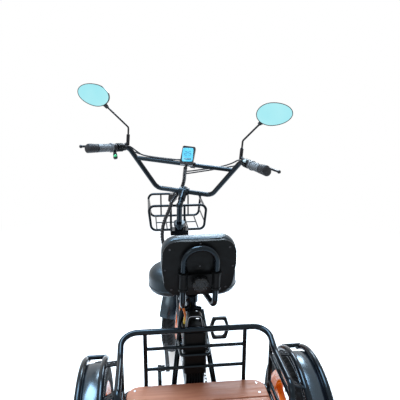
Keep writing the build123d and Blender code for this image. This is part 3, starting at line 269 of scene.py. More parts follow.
def patch(grid, loop=False):
    """Points and faces of a tube out of a grid of points, each row of it a closed ring. In a loop the last
    row is joined to the first, or else both are capped."""
    rows, columns = grid.shape[:2]
    index = np.arange(rows * columns).reshape(rows, columns)
    here = index if loop else index[:-1]
    below = np.roll(index, -1, 0) if loop else index[1:]
    faces = np.stack([here, below, np.roll(below, -1, 1), np.roll(here, -1, 1)], -1).reshape(-1, 4).tolist()
    if not loop:
        faces.append(index[0].tolist())
        faces.append(index[-1][::-1].tolist())
    return grid.reshape(-1, 3), faces


def add_piece(name, shapes, material, body, stands_for=(), sharp=38.0):
    """New piece out of (points, faces) shapes: faces turned outwards, smooth below the sharp angle,
    riding on a body with a material and standing for CAD nodes."""
    faces = []
    start = 0
    for points, corners in shapes:
        faces += [[start + corner for corner in face] for face in corners]
        start += len(points)
    mesh = bpy.data.meshes.new(name)
    mesh.from_pydata(np.concatenate([points for points, _ in shapes]).tolist(), [], faces)
    shell = bmesh.new()
    shell.from_mesh(mesh)
    bmesh.ops.recalc_face_normals(shell, faces=shell.faces)
    shell.to_mesh(mesh)
    shell.free()
    mesh.shade_smooth()
    mesh.set_sharp_from_angle(angle=math.radians(sharp))
    mesh.materials.append(material)
    piece = bpy.data.objects.new(name, mesh)
    scene.collection.objects.link(piece)
    if body:
        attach(piece, body)
    if stands_for:
        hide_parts(*stands_for)
    return piece


def unit(vector):
    """Vectors of a whole array brought to length one."""
    vector = np.asarray(vector, float)
    return vector / np.linalg.norm(vector, axis=-1, keepdims=True)


def basis(axis):
    """Three unit vectors square to each other: across, as far upward as can be, and the axis itself."""
    axis = unit(axis)
    across = np.cross((0.0, 0.0, 1.0), axis)
    if np.linalg.norm(across) < 1e-3:
        across = np.cross((0.0, 1.0, 0.0), axis)
    across = unit(across)
    return across, np.cross(axis, across), axis


def turns(count):
    """Angles in equal steps round a full turn."""
    return np.linspace(0, 2 * math.pi, count, endpoint=False)


def powered(wave, power):
    """Wave of a superellipse: sign(w) |w|^(2/n)."""
    return np.sign(wave) * np.abs(wave) ** (2 / power)


def tyre_shape(center, axis):
    """Ring whose section is a superellipse, |x/half|^n + |(r - belly)/height|^n = 1, down to the beads.
    The tread takes its depth off the radius where cross grooves and two zigzag grooves run."""
    across, upward, axis = basis(axis)
    low_end = math.acos((BEAD_HALF / TYRE_HALF) ** (TYRE_POWER / 2))
    crown = np.linspace(CROWN_START, math.pi - CROWN_START, CROWN_COLUMNS)
    walls = np.linspace(-low_end, CROWN_START, WALL_COLUMNS)[:-1]
    t = np.concatenate([walls, crown, math.pi - walls[::-1]])
    x = TYRE_HALF * powered(np.cos(t), TYRE_POWER)
    height = np.where(np.sin(t) > 0, TYRE_RADIUS - TYRE_BELLY, BEAD_DROP)
    r = TYRE_BELLY + height * powered(np.sin(t), TYRE_POWER)
    crest = np.abs(np.sin((r - RIB_FROM) * RIB_WAVES)) > RIB_CREST
    ribs = RIB_HEIGHT * crest * (np.abs(x) > RIB_WALL)
    x = x + np.sign(x) * np.minimum(ribs, TYRE_HALF - np.abs(x))
    x = np.concatenate([x, [-BEAD_HALF, BEAD_HALF]])
    r = np.concatenate([r, [BEAD_RADIUS, BEAD_RADIUS]])
    turn = turns(TREAD_PITCHES * TREAD_STEPS)[:, None]
    phase = turn * TREAD_PITCHES / (2 * math.pi)
    saw = 2 * np.abs((phase % 1.0) - 0.5) - 0.5
    zigzag = np.abs(np.abs(x) - GROOVE_PLACE - GROOVE_SWING * saw) < GROOVE_HALF
    slant = (phase + np.abs(x) * CUT_SLANT + 0.5 * (x > 0)) % 1.0
    cross = (slant < CUT_SHARE) & (np.abs(x) > CUT_SPAN[0]) & (np.abs(x) < CUT_SPAN[1])
    tread = (zigzag | cross) & (r > TYRE_RADIUS - TREAD_BAND)
    radius = r - TREAD_DEPTH * tread
    ring = np.cos(turn) * across + np.sin(turn) * upward
    grid = np.asarray(center) + x[None, :, None] * axis + radius[..., None] * ring[:, None, :]
    return patch(grid, loop=True)


tyre_rubber = finish_of(
    "tyre_rubber", (noise(14, 5), (0.35, 0.006, 0.006, 0.0065), (0.58, 0.009, 0.009, 0.0095),
                    (0.75, 0.015, 0.0145, 0.0135)),
    (noise(60), 0.6, 0.85), (noise(700), 0.25, 0.0006), shine=0.16)
WHEELS = ("front", "left_rear", "right_rear")
for wheel in WHEELS:
    hinge = joints[wheel + "_wheel"]
    add_piece(wheel + "_tread_tyre", [tyre_shape(hinge["pos_m"], hinge["axis"])], tyre_rubber,
              wheel + "_wheel", (wheel + "_tyre",), sharp=50.0)

# Wheels: cast alloy in gloss orange, five spokes. The front hub is a motor with dark covers held by
# a ring of screws, the rear hubs have pressed caps, and each rim has a valve.
orange_paint = finish_of(
    "wheel_orange", (noise(11, 4), (0.3, 0.78, 0.14, 0.008), (0.7, 0.9, 0.19, 0.012)),
    (noise(40), 0.2, 0.36), (noise(380), 0.06, 0.0004), coat=0.15, shine=0.35)
dress(orange_paint, "front_rim", "left_rear_rim", "right_rear_rim")
dark_alloy = finish_of(
    "dark_alloy", (noise(30, 4), (0.3, 0.035, 0.035, 0.04), (0.7, 0.075, 0.075, 0.08)),
    (noise(90), 0.3, 0.5), (noise(500), 0.12, 0.0004), metallic=0.8)
bright_steel = finish_of(
    "bright_steel", (noise(80, 3), (0.3, 0.5, 0.5, 0.52), (0.7, 0.68, 0.68, 0.7)),
    (noise(160), 0.18, 0.34), (noise(900), 0.08, 0.0002), metallic=1.0)


def lathe(profile, center, axis, sides):
    """Turned shape: the profile's rows are (distance along the axis, radius), carried round the axis."""
    across, upward, axis = basis(axis)
    turn = turns(sides)[:, None]
    ring = np.cos(turn) * across + np.sin(turn) * upward
    profile = np.asarray(profile, float)
    grid = np.asarray(center) + profile[:, 0, None, None] * axis + profile[:, 1, None, None] * ring
    return patch(grid)


def screw(place, axis, radius, height, sides=12):
    """Round screw head with a hollow in its top, standing on a place along an axis."""
    profile = ((-0.4 * height, radius), (0.35 * height, radius), (0.8 * height, 0.86 * radius),
               (height, 0.55 * radius), (0.95 * height, 0.42 * radius), (0.5 * height, 0.36 * radius))
    return lathe(profile, place, axis, sides)


def ring_of(center, axis, radius, count, first=0.0):
    """Places evenly round an axis."""
    across, upward, _ = basis(axis)
    turn = first + turns(count)[:, None]
    return np.asarray(center) + radius * (np.cos(turn) * across + np.sin(turn) * upward)


MOTOR_HALF = 0.033
MOTOR_SCREWS = 12
COVER_RIM = 0.003
COVER_SCREW = (0.0034, 0.0022)
COVER_SCREW_RING = 0.081
COVER_PROFILE = ((-0.006, 0.0932), (0.0012, 0.0932), (COVER_RIM, 0.091), (COVER_RIM, 0.072), (0.0045, 0.068),
                 (0.0045, 0.03), (0.0052, 0.024), (0.0052, 0.0085))
hub_place = np.array(joints["front_wheel"]["pos_m"])
hub_axis = unit(joints["front_wheel"]["axis"])
covers = []
cover_screws = []
for out in (-hub_axis, hub_axis):
    face = hub_place + MOTOR_HALF * out
    covers.append(lathe(COVER_PROFILE, face, out, 72))
    cover_screws += [screw(spot, out, *COVER_SCREW)
                     for spot in ring_of(face + COVER_RIM * out, out, COVER_SCREW_RING, MOTOR_SCREWS)]
add_piece("motor_covers", covers, dark_alloy, "front_wheel")
add_piece("motor_cover_screws", cover_screws, bright_steel, "front_wheel")
HUB_HALF = 0.030
HUB_NUTS = 5
HUB_NUT = (0.0045, 0.004)
HUB_NUT_RING = 0.030
CAP_RIM = 0.004
CAP_PROFILE = ((-0.002, 0.036), (0.002, 0.036), (CAP_RIM, 0.034), (0.0045, 0.026), (0.009, 0.0245),
               (0.0115, 0.02), (0.0125, 0.010), (0.0127, 0.002))
for side, wheel in ((-1, "left_rear"), (1, "right_rear")):
    out = np.array((side, 0.0, 0.0))
    face = np.array(joints[wheel + "_wheel"]["pos_m"]) + HUB_HALF * out
    nuts = [screw(spot, out, *HUB_NUT, 6)
            for spot in ring_of(face + CAP_RIM * out, out, HUB_NUT_RING, HUB_NUTS)]
    add_piece(wheel + "_hub_cap", [lathe(CAP_PROFILE, face, out, 48)], dark_alloy, wheel + "_wheel")
    add_piece(wheel + "_hub_nuts", nuts, bright_steel, wheel + "_wheel")
VALVE_RADIUS = 0.158
VALVE_TURN = 0.31 + math.pi / 5
VALVE_PROFILE = ((-0.006, 0.0042), (0.012, 0.004), (0.013, 0.0032), (0.03, 0.003), (0.031, 0.0036),
                 (0.038, 0.0036), (0.039, 0.001))
for wheel in WHEELS:
    hinge = joints[wheel + "_wheel"]
    foot = ring_of(hinge["pos_m"], hinge["axis"], VALVE_RADIUS, 1, VALVE_TURN)[0]
    valve = lathe(VALVE_PROFILE, foot, np.array(hinge["pos_m"]) - foot, 14)
    add_piece(wheel + "_valve", [valve], tyre_rubber, wheel + "_wheel")

# Mudguards: black pressed sheet, glossy, with a rolled bead along both edges. The rear ones are
# held inside the guards, the front one on the fork.
fender_gloss = finish_of(
    "fender_gloss", (noise(7, 3), (0.3, 0.003, 0.004, 0.006), (0.7, 0.007, 0.008, 0.011)),
    (noise(22, 4), 0.15, 0.28), (noise(24), 0.05, 0.0015), shine=0.85, tint=PAINTED_SKY_REFLECTION)
dress(fender_gloss, "left_rear_fender", "right_rear_fender", "front_fender")


def tube(path, radius, sides, loop=False):
    """Round section carried along a path of points, with one radius, one for each point or a grid of them.
    Its frame is the path's direction crossed with the fixed direction that the path follows least."""
    path = np.asarray(path, float)
    along = unit(np.roll(path, -1, 0) - np.roll(path, 1, 0) if loop else np.gradient(path, axis=0))
    fixed = unit(((1, 0, 0), (0, 1, 0), (0, 0, 1), (1, 1, 0), (0, 1, 1), (1, 0, 1), (1, -1, 1)))
    best = fixed[np.argmin(np.abs(along @ fixed.T).max(0))]
    across = unit(np.cross(along, best))
    upward = np.cross(along, across)
    turn = turns(sides)[None, :, None]
    size = np.asarray(radius, float)
    size = size[..., None] if size.ndim == 2 else size.reshape(-1, 1, 1)
    grid = path[:, None] + size * (np.cos(turn) * across[:, None] + np.sin(turn) * upward[:, None])
    return patch(grid, loop)


GUARD_CENTER = np.array((0.0, axle_y - 0.081, 0.338))
FENDER_EDGE_X = 0.0365
FENDER_EDGE_R = 0.2258
FENDER_SWEEP = (72.0, 196.0)
BEAD_R = 0.0024
sweep = np.radians(np.linspace(*FENDER_SWEEP, 96))
arc = FENDER_EDGE_R * np.stack([np.zeros_like(sweep), np.cos(sweep), np.sin(sweep)], 1)
for wheel in ("left_rear", "right_rear"):
    wheel_x = joints[wheel + "_wheel"]["pos_m"][0]
    beads = [tube(GUARD_CENTER + (wheel_x + edge * FENDER_EDGE_X, 0, 0) + arc, BEAD_R, 10)
             for edge in (-1, 1)]
    add_piece(wheel + "_fender_beads", beads, fender_gloss, "frame")

# Saddle and backrest: black vinyl drawn over foam on a moulded pan and shell. Both are blown up as cloth
# from their CAD solids, with piping sewn round the edge and a panel seam.
vinyl = finish_of(
    "seat_vinyl", (noise(12, 4), (0.32, 0.006, 0.0064, 0.007), (0.68, 0.011, 0.0116, 0.013)),
    (noise(26, 4), 0.3, 0.45), (("TexVoronoi", "Distance", (1, 1, 1), {"Scale": 420.0}), 0.14, 0.0006),
    tint=PAINTED_SKY_REFLECTION)
CLOTH_CELL = 0.0055
CLOTH_PRESSURE = 4.0
CLOTH_FRAMES = 20
HELD_HEIGHT = 0.003
FREE_HEIGHT = 0.02


def evaluated_mesh(piece):
    """New mesh of a piece with its modifiers carried out."""
    graph = bpy.context.evaluated_depsgraph_get()
    return bpy.data.meshes.new_from_object(piece.evaluated_get(graph))


def mesh_points(mesh):
    """Points of a mesh as an array."""
    flat = np.empty(3 * len(mesh.vertices))
    mesh.vertices.foreach_get("co", flat)
    return flat.reshape(-1, 3)


def world_points(name):
    """Points of a CAD node where it stands."""
    world = np.array(nodes[name].matrix_world)
    return mesh_points(nodes[name].data) @ world[:3, :3].T + world[:3, 3]


def stuffed(name, cad_name, inset, most, seat, normal):
    """Padded piece: the CAD solid is drawn in by the inset, remeshed evenly and inflated as cloth. Each point
    moves along the seat's normal and outwards, no further than most, and not where the seat holds it."""
    normal = unit(normal)
    mesh = nodes[cad_name].data.copy()
    mesh.transform(nodes[cad_name].matrix_world)
    shell = bmesh.new()
    shell.from_mesh(mesh)
    bmesh.ops.remove_doubles(shell, verts=shell.verts, dist=1e-5)
    bmesh.ops.recalc_face_normals(shell, faces=shell.faces)
    shell.to_mesh(mesh)
    shell.free()
    points = mesh_points(mesh)
    low, high = points.min(0), points.max(0)
    middle = (low + high) / 2
    points = middle + (points - middle) * (1 - 2 * inset / (high - low))
    mesh.vertices.foreach_set("co", points.ravel())
    mesh.materials.clear()
    piece = bpy.data.objects.new(name, mesh)
    scene.collection.objects.link(piece)
    remesh = piece.modifiers.new("even", "REMESH")
    remesh.mode = "VOXEL"
    remesh.voxel_size = CLOTH_CELL
    even = evaluated_mesh(piece)
    piece.modifiers.clear()
    piece.data = even
    cloth = piece.modifiers.new("blown", "CLOTH")
    cloth.settings.use_pressure = True
    cloth.settings.uniform_pressure_force = CLOTH_PRESSURE
    cloth.settings.effector_weights.gravity = 0.0
    cloth.point_cache.frame_start = 1
    cloth.point_cache.frame_end = CLOTH_FRAMES
    for number in range(1, CLOTH_FRAMES + 1):
        scene.frame_set(number)
    rest = mesh_points(even)
    moved = mesh_points(evaluated_mesh(piece)) - rest
    piece.modifiers.clear()
    scene.frame_set(1)
    length = np.linalg.norm(moved, axis=1, keepdims=True)
    free = np.clip(((rest - seat) @ normal - HELD_HEIGHT) / FREE_HEIGHT, 0, 1)[:, None]
    moved = moved * np.minimum(1.0, most / np.maximum(length, 1e-9)) * free
    lifted = (moved @ normal)[:, None] * normal
    spread = rest - rest.mean(0)
    spread = unit(spread - (spread @ normal)[:, None] * normal + 1e-9)
    outward = np.maximum(((moved - lifted) * spread).sum(1, keepdims=True), 0.0) * spread
    moved = np.where(lifted @ normal[:, None] > 0, lifted, 0.0) + outward
    even.vertices.foreach_set("co", (rest + moved).ravel())
    ease = piece.modifiers.new("ease", "SMOOTH")
    ease.factor = 0.5
    ease.iterations = 6
    fine = piece.modifiers.new("fine", "SUBSURF")
    fine.levels = 1
    fine.render_levels = 1
    final = evaluated_mesh(piece)
    piece.modifiers.clear()
    piece.data = final
    final.shade_smooth()
    final.materials.append(vinyl)
    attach(piece, "frame")
    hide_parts(cad_name)
    return piece


def hits(piece, starts, directions):
    """Places and normals where rays from starts meet a piece; a ray that misses keeps its start."""
    mesh = piece.data
    world = piece.matrix_world
    tree = BVHTree.FromPolygons([world @ v.co for v in mesh.vertices], [p.vertices[:] for p in mesh.polygons])
    places = []
    normals = []
    for start, direction in zip(starts, np.broadcast_to(directions, np.shape(starts))):
        place, normal, _, _ = tree.ray_cast(Vector(start), Vector(direction))
        places.append(start if place is None else place)
        normals.append(-np.asarray(direction) if place is None else normal)
    return np.array(places, float), np.array(normals, float)


def sewn_line(piece, starts, directions):
    """Closed line where rays meet a padded piece, eased twice by the average of neighbours, 1 : 2 : 1."""
    line, _ = hits(piece, starts, directions)
    for _ in range(2):
        line = (np.roll(line, 1, 0) + 2 * line + np.roll(line, -1, 0)) / 4
    return line


UP = np.array((0.0, 0.0, 1.0))
PIPE_LEVEL = 0.026
PIPE_R = 0.0024
WELT_R = 0.0015
SEAM_R = 0.0013
PANEL_SHARE = 0.7
turn = turns(180)[:, None]
saddle_low, saddle_high = np.array(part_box("saddle"))
saddle = stuffed("padded_saddle", "saddle", inset=0.004, most=0.009, seat=saddle_low, normal=UP)
flat_ring = np.cos(turn) * (1, 0, 0) + np.sin(turn) * (0, 1, 0)
saddle_mid = (saddle_low + saddle_high) / 2
pipe_mid = np.array((*saddle_mid[:2], saddle_low[2] + PIPE_LEVEL))
edge = sewn_line(saddle, pipe_mid + 0.4 * flat_ring, -flat_ring)
add_piece("saddle_piping", [tube(edge, PIPE_R, 10, loop=True)], vinyl, "frame")
panel = saddle_mid + (edge - pipe_mid) * (PANEL_SHARE, PANEL_SHARE * 1.02, 0) + 0.2 * UP
seam = sewn_line(saddle, panel, -UP) - 0.0004 * UP
add_piece("saddle_seam", [tube(seam, SEAM_R, 8, loop=True)], vinyl, "frame")

BACK_LEAN = math.radians(11.0)
SEAT_YAW = math.radians(2.0)


def seat_turn(vector):
    """Direction turned with the seat about the upright seat tube."""
    c, s = math.cos(SEAT_YAW), math.sin(SEAT_YAW)
    x, y, z = vector
    return np.array((c * x - s * y, s * x + c * y, z))


back_front = seat_turn((0.0, math.cos(BACK_LEAN), math.sin(BACK_LEAN)))
back_right = seat_turn((1.0, 0.0, 0.0))
back_up = np.cross(back_right, back_front)
back_axes = np.stack([back_right, back_up, back_front])
pad_reach = world_points("backrest_pad") @ back_axes.T
pad_low, pad_high = pad_reach.min(0), pad_reach.max(0)
pad_mid = 0.5 * (pad_low + pad_high) @ back_axes
pad_rear = pad_mid - 0.5 * (pad_high - pad_low)[2] * back_front
pad = stuffed("padded_backrest", "backrest_pad", inset=0.002, most=0.008, seat=pad_rear, normal=back_front)
pad_ring = np.cos(turn) * back_right + np.sin(turn) * back_up
pad_edge = sewn_line(pad, pad_rear + 0.003 * back_front + 0.35 * pad_ring, -pad_ring)
add_piece("backrest_welt", [tube(pad_edge, WELT_R, 10, loop=True)], vinyl, "frame")
pad_panel = pad_mid + PANEL_SHARE * (pad_edge - pad_rear) + 0.1 * back_front
pad_seam = sewn_line(pad, pad_panel, -back_front)
add_piece("backrest_seam", [tube(pad_seam, SEAM_R, 8, loop=True)], vinyl, "frame")

# Backrest shell and clamp: moulded satin plastic, screwed to the pad's board. A lobed hand knob tightens
# the clamp on the hoop. Battery, switches and pedals are of the same plastic.
satin_plastic = finish_of(
    "satin_black_plastic", (noise(16, 4), (0.3, 0.0032, 0.0037, 0.004), (0.7, 0.0056, 0.0062, 0.0066)),
    (noise(50), 0.3, 0.5), (noise(520), 0.16, 0.0005), shine=0.1)
dress(satin_plastic, "backrest_shell", "backrest_clamp", "battery_pack", "battery_handle",
      "left_switch", "right_switch", "left_pedal", "right_pedal")
knob_plastic = finish_of(
    "knob_plastic", (noise(60, 3), (0.3, 0.0055, 0.006, 0.0068), (0.7, 0.009, 0.0095, 0.0106)),
    (noise(80), 0.2, 0.34), (noise(600), 0.06, 0.0003), shine=0.24)


def face_of(name, toward):
    """Middle, right, up, normal and half sizes of a node's largest flat face that looks in a direction."""
    mesh = nodes[name].data
    mesh.calc_loop_triangles()
    corners = np.empty(3 * len(mesh.loop_triangles), int)
    mesh.loop_triangles.foreach_get("vertices", corners)
    corners = corners.reshape(-1, 3)
    points = world_points(name)
    a, b, c = points[corners[:, 0]], points[corners[:, 1]], points[corners[:, 2]]
    cross = np.cross(b - a, c - a)
    area = np.maximum(np.linalg.norm(cross, axis=1), 1e-12)
    normals = cross / area[:, None]
    looking = np.flatnonzero(normals @ unit(toward) > 0.6)
    _, group = np.unique(np.round(normals[looking], 2), axis=0, return_inverse=True)
    group = group.ravel()
    chosen = looking[group == np.bincount(group, area[looking]).argmax()]
    axes = np.stack(basis((normals[chosen] * area[chosen, None]).sum(0)))
    reach = points[np.unique(corners[chosen])] @ axes.T
    low, high = reach.min(0), reach.max(0)
    return (low + high) / 2 @ axes, *axes, (high - low) / 2


KNOB_RADIUS = 0.026
KNOB_HEIGHT = 0.024
KNOB_LOBES = 6
KNOB_ROWS = np.array((
    (0.0, 0.30), (0.009, 0.34), (0.009, 0.86), (0.011, 0.96), (0.015, 1.0), (0.0195, 1.0), (0.0225, 0.95),
    (KNOB_HEIGHT, 0.84), (KNOB_HEIGHT, 0.56), (0.0225, 0.5), (0.0215, 0.46), (0.0215, 0.04)))


def moulded_knob(center, axis):
    """Hand knob: radius R (1 - 0.17 (1 - |cos(lobes a / 2)|)^2), through rows of (rise, share of it)."""
    across, upward, axis = basis(axis)
    a = turns(96)[:, None]
    radius = KNOB_RADIUS * (1 - 0.17 * (1 - np.abs(np.cos(KNOB_LOBES * a / 2))) ** 2)
    lobed = radius * (np.cos(a) * across + np.sin(a) * upward)
    grid = np.asarray(center) + KNOB_ROWS[:, 0, None, None] * axis + KNOB_ROWS[:, 1, None, None] * lobed
    return patch(grid)


# Places of the screws from the shell's middle, to the right and up
SHELL_SCREWS = ((-0.09, 0.07), (0.0, 0.086), (0.09, 0.07), (-0.104, 0.0), (0.0, 0.012), (0.102, 0.004),
                (-0.084, -0.072), (0.084, -0.072))
SHELL_SCREW = (0.0036, 0.0018)
knob_face, _, _, knob_out, _ = face_of("clamp_knob", (0.0, -1.0, 0.0))
add_piece("moulded_clamp_knob", [moulded_knob(knob_face - KNOB_HEIGHT * knob_out, knob_out)], knob_plastic,
          "frame", ("clamp_knob",))
shell_mid = np.array(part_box("backrest_shell")).mean(0)
starts = np.array([shell_mid + x * back_right + z * back_up - 0.2 * back_front for x, z in SHELL_SCREWS])
spots, outs = hits(nodes["backrest_shell"], starts, back_front)
add_piece("shell_screws", [screw(spot, out, *SHELL_SCREW) for spot, out in zip(spots, outs)], dark_alloy,
          "frame")

# Cargo floor: three planks of reddish brown wood under satin varnish, laid across the rack and screwed
# down near their corners.
wood = finish_of(
    "plank_wood", (noise(5, 7, (1, 16, 16), 0.6), (0.28, 0.38, 0.135, 0.075), (0.45, 0.45, 0.17, 0.095),
                   (0.6, 0.48, 0.19, 0.108), (0.74, 0.55, 0.235, 0.14)),
    (noise(9, 4, (1, 10, 10)), 0.36, 0.58), (noise(22, 5, (1, 22, 22)), 0.2, 0.0008), shine=0.3)
dress(wood, "cargo_planks")
PLANKS = 3
PLANK_SCREW = (0.0046, 0.0014)
PLANK_SCREW_IN = 0.026
plank_low, plank_high = np.array(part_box("cargo_planks"))
plank_depth = (plank_high[1] - plank_low[1]) / PLANKS
plank_screws = [screw((x, plank_high[1] - (row + share) * plank_depth, plank_high[2]), UP, *PLANK_SCREW, 16)
                for row in range(PLANKS) for share in (0.24, 0.76)
                for x in (plank_low[0] + PLANK_SCREW_IN, plank_high[0] - PLANK_SCREW_IN)]
add_piece("plank_screws", plank_screws, bright_steel, "frame")

# Guard straps: each flat steel strap between the rack and a wheel's guard is held by two small
# hexagon screws.
STRAP_SCREW = (0.0038, 0.0024)
STRAP_SCREW_X = (0.253, 0.267)
STRAP_Y = (-0.043, -0.182)
strap_screws = []
for side, guard in ((-1, "left_guard"), (1, "right_guard")):
    starts = np.array([(side * x, axle_y + y, 0.75) for y in STRAP_Y for x in STRAP_SCREW_X])
    spots, outs = hits(nodes[guard], starts, -UP)
    strap_screws += [screw(spot, out, *STRAP_SCREW, 6) for spot, out in zip(spots, outs)]
add_piece("strap_screws", strap_screws, dark_alloy, "frame")

# Controls on the bar: black levers, cables and switches, and moulded grips whose dark outer ends swell to a
# palm rest. Their inner parts are grey sleeves, the right one turning as the throttle.
black_metal = finish_of(
    "black_metal", (noise(25, 4), (0.3, 0.006, 0.006, 0.0075), (0.7, 0.013, 0.013, 0.015)),
    (noise(70), 0.26, 0.42), (noise(600), 0.1, 0.0004), metallic=0.2, shine=0.3)
dress(black_metal, "left_brake_lever", "right_brake_lever", "left_mirror_stem", "right_mirror_stem",
      "crankset")
soft_rubber = finish_of(
    "soft_rubber", (noise(40, 4), (0.3, 0.009, 0.009, 0.0105), (0.7, 0.018, 0.018, 0.02)),
    (noise(110), 0.5, 0.74), (noise(900), 0.2, 0.0004), shine=0.3)
dress(soft_rubber, "left_brake_cable", "right_brake_cable", "left_switch_cable", "right_switch_cable")
grey_plastic = finish_of(
    "grip_grey", (noise(60, 3), (0.3, 0.08, 0.084, 0.088), (0.7, 0.125, 0.13, 0.136)),
    (noise(130), 0.3, 0.46), (noise(800), 0.08, 0.0003), shine=0.45)
GRIP_DARK = 0.058
GRIP_R = 0.0168
RING_STEP = 0.005
RING_RISE = 0.0006
RINGS_FROM = 0.05
PALM = np.array((0.0, -0.92, 0.4))
PALM_SPAN = (0.085, 0.075)
PALM_RISE = 0.010
PALM_GIRTH = 0.0015
END_ROUND = (0.009, 0.0094)
GRIP_FLANGE = 0.008
FLANGE_PROFILE = ((-GRIP_FLANGE, 0.0172), (-0.007, 0.0205), (0.0, 0.0205), (0.0, 0.0112))


def grip_line(name):
    """Outer end, inward direction and length of a grip, from its points' main direction."""
    points = world_points(name)
    middle = points.mean(0)
    along = np.linalg.svd(points - middle, full_matrices=False)[2][0]
    along = along * -np.sign(along[0] * middle[0])
    reach = (points - middle) @ along
    return middle + reach.min() * along, along, reach.max() - reach.min()


def winged_grip(end, inward, first, last):
    """Moulded grip: a round sleeve with fine rings that swells to a palm rest at its rounded outer end. Its
    radius is R + rise w cos(a)^2 + girth w towards the palm, where w falls from the end inward."""
    t = np.linspace(first, last, 150)[:, None]
    upward = unit(PALM - (PALM @ inward) * inward)
    across = np.cross(inward, upward)
    a = turns(40)[None, :]
    share = np.clip((PALM_SPAN[0] - t) / PALM_SPAN[1], 0, 1)
    swell = share * share * (3 - 2 * share)
    rings = RING_RISE * np.clip(2 * np.cos(2 * math.pi * t / RING_STEP), -1, 1) * (t > RINGS_FROM)
    r = GRIP_R + rings + PALM_RISE * swell * np.clip(np.cos(a), 0, 1) ** 2 + PALM_GIRTH * swell
    r = r * np.sqrt(np.clip(1 - np.clip((END_ROUND[0] - t) / END_ROUND[1], 0, 1) ** 2, 0.01, 1))
    ring = np.cos(a)[..., None] * upward + np.sin(a)[..., None] * across
    return patch(end + t[..., None] * inward + r[..., None] * ring)


for side in ("left", "right"):
    end, inward, length = grip_line(side + "_grip")
    add_piece(side + "_palm_grip", [winged_grip(end, inward, 0.0, GRIP_DARK)], soft_rubber,
              "steering", (side + "_grip",), sharp=60.0)
    sleeve = [winged_grip(end, inward, GRIP_DARK, length - GRIP_FLANGE),
              lathe(FLANGE_PROFILE, end + length * inward, inward, 40)]
    add_piece(side + "_grip_sleeve", sleeve, grey_plastic, "steering", (side + "_grip",),
              sharp=60.0)

# Thumb switch: a small moulded stalk under the left grip's inner end with a green key in its tip. The right
# switch housing has a key that looks back at the rider, coloured pale grey-cyan as a painted highlight.
end, inward, length = grip_line("left_grip")
STALK = unit((0.12, -0.55, -0.82))
STALK_PROFILE = ((0.0, 0.0075), (0.012, 0.007), (0.02, 0.0085), (0.036, 0.0095), (0.041, 0.008),
                 (0.042, 0.004))
stalk_foot = end + (length + 0.012) * inward + 0.012 * STALK
add_piece("thumb_switch", [lathe(STALK_PROFILE, stalk_foot, STALK, 24)], satin_plastic, "steering")
BUTTON_R = 0.0074
BUTTON_SINK = 0.007
left_look = unit((0.0, -0.95, 0.3))
left_tip = stalk_foot + 0.03 * STALK + 0.0128 * left_look
right_look = unit((0.0, -0.86, 0.5))
switch_points = world_points("right_switch")
right_tip = switch_points[np.argmax(switch_points @ right_look)]
lift = np.linspace(0.1, 1.45, 7)
dome = BUTTON_R * np.stack([np.sin(lift), np.cos(lift)], 1)
# The right key's pale grey-cyan colour is a painted highlight.
for side, tip, look, color in (("left", left_tip, left_look, np.array((0.05, 0.42, 0.16))),
                               ("right", right_tip, right_look, np.array((0.5, 0.6, 0.6)))):
    key = finish_of(side + "_button", (noise(90), (0.3, *0.85 * color), (0.7, *1.1 * color)),
                    (noise(150), 0.26, 0.4), (noise(900), 0.06, 0.0002))
    add_piece(side + "_button", [lathe(dome, tip - BUTTON_SINK * look, look, 24)], key, "steering")

# Mirrors: egg-shaped plastic shells with a silvered glass set in a thin dark rim, the glass tinted pale cyan
# as a painted sky reflection.
# A rubber boot covers the ball joint that holds each shell to the end of its stem.
gloss_plastic = finish_of(
    "gloss_black_plastic", (noise(18, 3), (0.3, 0.005, 0.005, 0.006), (0.7, 0.011, 0.011, 0.013)),
    (noise(45), 0.1, 0.24), (noise(300), 0.05, 0.0004), coat=0.2, shine=0.3)
dress(gloss_plastic, "left_mirror_shell", "right_mirror_shell", "display", "headlamp")
# The glass's pale cyan base colour is a painted sky reflection.
sky_painted_mirror = finish_of(
    "mirror_glass", (noise(6), (0.3, 0.36, 0.82, 0.9), (0.7, 0.5, 0.9, 0.94)),
    (noise(25), 0.02, 0.05), (noise(9), 0.02, 0.0005), metallic=1.0)
dress(sky_painted_mirror, "left_mirror_glass", "right_mirror_glass")
BOOT_INTO = 0.014
BOOT_DOWN = 0.012
STEM_TIP = 0.006
share = np.linspace(0, 1, 14)[:, None]
girth = 0.0068 + 0.0022 * np.sin(math.pi * share[:, 0]) + 0.0006 * np.cos(8 * math.pi * share[:, 0])
for side in ("left", "right"):
    stem_points = world_points(side + "_mirror_stem")
    shell_points = world_points(side + "_mirror_shell")
    tip = stem_points[stem_points[:, 2] > stem_points[:, 2].max() - STEM_TIP].mean(0)
    near = shell_points[np.argmin(np.linalg.norm(shell_points - tip, axis=1))]
    inside = near + BOOT_INTO * unit(shell_points.mean(0) - near)
    path = (1 - share) * (tip - BOOT_DOWN * unit(inside - tip)) + share * inside
    add_piece(side + "_mirror_boot", [tube(path, girth, 20)], soft_rubber, "steering")

# Meter: a glossy case on the crossbar with a thin bezel round a lit cyan screen of plain digits and bars,
# and three rubber keys below it.
screen_look = finish_of(
    "screen_cyan", (noise(30), (0.3, 0.02, 0.18, 0.26), (0.7, 0.03, 0.24, 0.32)),
    (noise(60), 0.14, 0.26), (noise(200), 0.02, 0.0002), coat=0.6)
wire(screen_look.node_tree, screen_look.node_tree.nodes["Principled BSDF"],
     {"Emission Color": (0.1, 0.55, 0.78, 1.0), "Emission Strength": 0.55})
digit_look = finish_of(
    "screen_digits", (noise(90), (0.3, 0.005, 0.024, 0.04), (0.7, 0.008, 0.036, 0.06)),
    (noise(90), 0.25, 0.36), (noise(400), 0.02, 0.0002))


